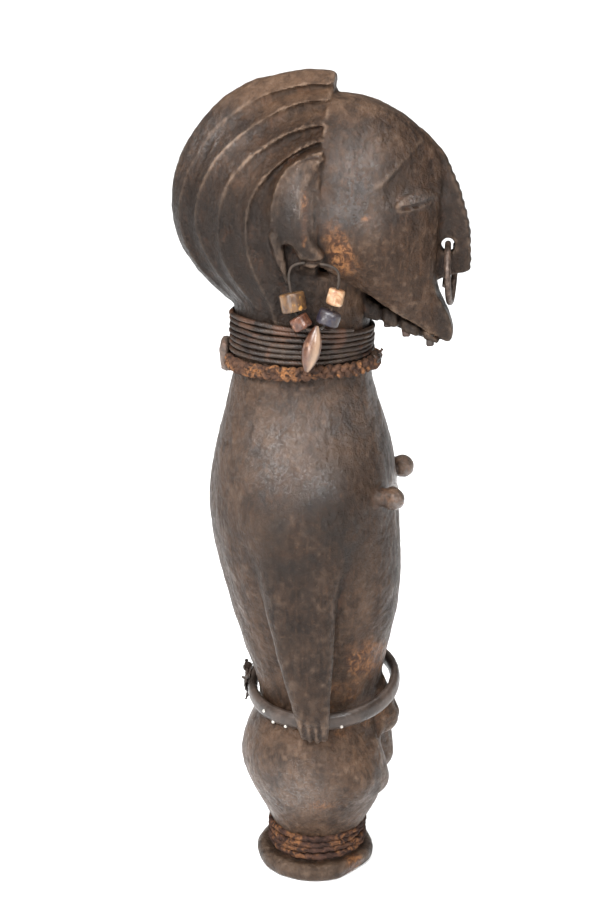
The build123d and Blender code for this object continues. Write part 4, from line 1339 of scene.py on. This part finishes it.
def polished_shell():
    """Brown shell with lengthwise streaks, paler along its lip."""
    s = Surface("polished_shell")
    streak = s.noise(2.2, 5, 0.6, (1, 1, 0.25), 0.5)
    cloud = s.noise(5.0, 4, 0.6, (1, 1, 0.6), 0.4, 4.0)
    fine = s.noise(0.5, 3, 0.7)
    base = s.mix(s.ramp(cloud, 0.38, 0.62), (0.026, 0.010, 0.006), (0.066, 0.028, 0.015))
    base = s.mix(s.ramp(streak, 0.54, 0.70, 0.0, 0.8), base, (0.165, 0.090, 0.055))
    base = s.mix(s.times(s.mask("lip"), 0.7), base, (0.20, 0.135, 0.09))
    base = s.mix(s.ramp(fine, 0.34, 0.26, 0.0, 0.7), base, (0.050, 0.025, 0.015))
    s.bumps([(streak, 0.25, 0.2), (fine, 0.2, 0.06)])
    return s.finish(base, s.ramp(fine, 0.3, 0.7, 0.24, 0.40), Specular_IOR_Level=0.40)


def bright_tack():
    """A small dulled white-metal tack."""
    s = Surface("bright_tack")
    fine = s.noise(0.5, 4, 0.7)
    base = s.mix(s.ramp(fine, 0.36, 0.60), (0.16, 0.14, 0.12), (0.42, 0.40, 0.37))
    s.bumps([(fine, 0.4, 0.1)])
    return s.finish(base, s.ramp(fine, 0.3, 0.7, 0.3, 0.5), Metallic=0.15)


# ------------------------------------------------------------------ putting pieces on bodies
def dress(pieces, body, nodes, material):
    """Give pieces a material and a body, and hide the CAD nodes that they stand for."""
    for piece in pieces if isinstance(pieces, list) else [pieces]:
        piece.data.materials.clear()
        piece.data.materials.append(material)
        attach(piece, body)
        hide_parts(*nodes)


def paint_node(node, material):
    """A new finish on a CAD node whose shape is already right."""
    mesh = bpy.data.objects[node].data
    if not mesh.materials:
        mesh.materials.append(material)
    for index in range(len(mesh.materials)):
        mesh.materials[index] = material


# Each bead's glass or stone name, then its deep, body, light and stain colours, roughness and the stain's
# reach.
BEAD_LOOKS = {
    "white_bead": ("white_glass", (0.120, 0.046, 0.018), (0.260, 0.165, 0.095),
                   (0.420, 0.345, 0.260), (0.120, 0.042, 0.012), 0.30, 0.56),
    "blue_bead": ("blue_glass", (0.008, 0.007, 0.014), (0.024, 0.019, 0.020),
                  (0.055, 0.043, 0.042), (0.018, 0.011, 0.010), 0.26, 0.50),
    "red_bead": ("red_stone", (0.030, 0.011, 0.006), (0.076, 0.028, 0.014),
                 (0.190, 0.090, 0.052), (0.022, 0.010, 0.007), 0.24, 0.54),
    "amber_bead": ("amber_stone", (0.036, 0.018, 0.009), (0.082, 0.042, 0.017),
                   (0.300, 0.150, 0.035), (0.024, 0.014, 0.010), 0.28, 0.56),
}


def hang_ear_loops(fibre):
    """Both ear loops, the left one a mirror of the right."""
    finishes = {bead: (slot, stone_bead(bead, *look)) for bead, (slot, *look) in BEAD_LOOKS.items()}
    finishes["shell_pendant"] = ("shell", polished_shell())
    for name, side in (("right", -1), ("left", 1)):
        pieces, route = ear_loop(name, side)
        string = pieces.pop("ear_string")
        dress(string, f"{name}_ear_loop", [f"{name}_ear_string"], fibre)
        for part, piece in pieces.items():
            slot, material = finishes[part]
            body = f"{name}_shell" if part == "shell_pendant" else f"{name}_{part}"
            dress(piece, body, [f"{name}_{part}"], material)


# Name, place and size in metres, and power in watts. All of them face the middle of the figure.
SOFT_BOXES = [
    ("key_softbox", (-0.22, -0.82, 1.00), 0.30, 26.0),
    ("front_softbox", (0.55, -1.13, 0.84), 0.20, 19.0),
    ("low_softbox", (-0.52, -1.16, 0.38), 0.16, 13.0),
    ("rear_softbox", (-0.95, 0.15, 0.30), 0.40, 1.6),
]
LIT_SPOT = (0, 0, 0.17)


def set_stage():
    """A wide pale floor in a white room, lit by soft boxes and a broad soft ceiling."""
    s = Surface("white_stage")
    fine = s.noise(30, 3, 0.5)
    corners = [(x * FLOOR_HALF, y * FLOOR_HALF, 0) for x, y in ((-1, -1), (1, -1), (1, 1), (-1, 1))]
    floor = new_piece("stage_floor", corners, [[0, 1, 2, 3]], smooth=False)
    floor.data.materials.append(s.finish(s.mix(fine, (0.93, 0.93, 0.93), (0.95, 0.95, 0.95)), 0.9))
    floor.location.z = -0.0002
    world = bpy.data.worlds.new("white_room")
    world.use_nodes = True
    background = world.node_tree.nodes["Background"]
    background.inputs["Color"].default_value = (1.0, 1.0, 1.0, 1.0)
    background.inputs["Strength"].default_value = 0.22
    bpy.context.scene.world = world
    bpy.context.scene.view_settings.view_transform = "Standard"
    for name, where, size, power in SOFT_BOXES:
        data = bpy.data.lights.new(name, "AREA")
        data.shape = "RECTANGLE"
        data.size = data.size_y = size
        data.energy = power
        lamp = bpy.data.objects.new(name, data)
        lamp.location = where
        lamp.rotation_euler = (Vector(LIT_SPOT) - Vector(where)).to_track_quat("-Z", "Y").to_euler()
        bpy.context.scene.collection.objects.link(lamp)
    data = bpy.data.lights.new("ceiling", "SUN")
    data.energy = 3.5
    data.angle = radians(70)
    lamp = bpy.data.objects.new("ceiling", data)
    lamp.location = (0.0, 0.0, 1.5)
    bpy.context.scene.collection.objects.link(lamp)


def set_camera():
    """A camera on the figure's right, a little towards its face, looking slightly down."""
    azimuth, drop = radians(8.0), radians(17.8)
    data = bpy.data.cameras.new("camera")
    data.sensor_width = 36.0
    data.lens = 68.9
    camera = bpy.data.objects.new("camera", data)
    camera.location = (0.0818, -0.6267, 0.379)
    camera.rotation_euler = (pi / 2 - drop, 0.0, azimuth)
    bpy.context.scene.collection.objects.link(camera)
    bpy.context.scene.camera = camera


# ------------------------------------------------------------------ making it
set_camera()
# Each cord or strip has dark, light and red or clay colours. Leather has a roughness too.
fibre = cord_leather("ear_fibre", (0.010, 0.007, 0.005), (0.028, 0.018, 0.012), (0.035, 0.018, 0.011), 0.6)
hang_ear_loops(fibre)
dress(make_figure(), "figure", ["carved_figure"], carved_wood())
dark_cord = cord_leather("dark_cord", (0.008, 0.005, 0.004), (0.030, 0.019, 0.013), (0.062, 0.028, 0.016), 0.24)
dress(neck_cord(), "figure", ["neck_cord"], dark_cord)
dress(throat_knot(), "figure", ["throat_knot"], dark_cord)
clay = clay_cord("clay_braid", (0.014, 0.008, 0.006), (0.060, 0.030, 0.018), (0.170, 0.074, 0.028))
dress(neck_braid(), "figure", ["neck_braid"], clay)
strip = cord_leather("leather_strip", (0.026, 0.018, 0.014), (0.070, 0.048, 0.037), (0.095, 0.050, 0.032), 0.42)
dress(nape_tie(), "figure", ["nape_tie"], strip)
ankle = clay_cord("ankle_fibre", (0.010, 0.0055, 0.0042), (0.042, 0.021, 0.015), (0.110, 0.048, 0.020))
dress(ankle_binding(), "figure", ["ankle_binding"], ankle)
ankle_tie = lump("ankle_tie_knot", (-14.2, 12.4, 15.8), (3.2, 3.2, 3.0), 85, 0.3, 0.2, 2.2, 3)
dress(ankle_tie, "figure", ["ankle_tie"], ankle)
peg_wood = cord_leather("peg_wood", (0.007, 0.005, 0.004), (0.018, 0.012, 0.009), (0.034, 0.017, 0.011), 0.5)
dress(jaw_pegs(), "figure", ["jaw_pegs"], peg_wood)
hide_material = hide()
dress(waist_hoop(), "waist_hoop", ["waist_hoop"], hide_material)
dress(hoop_lashing(), "waist_hoop", ["hoop_lashing"], hide_material)
paint_node("hoop_tacks", bright_tack())
paint_node("nose_ring", old_iron())
set_stage()
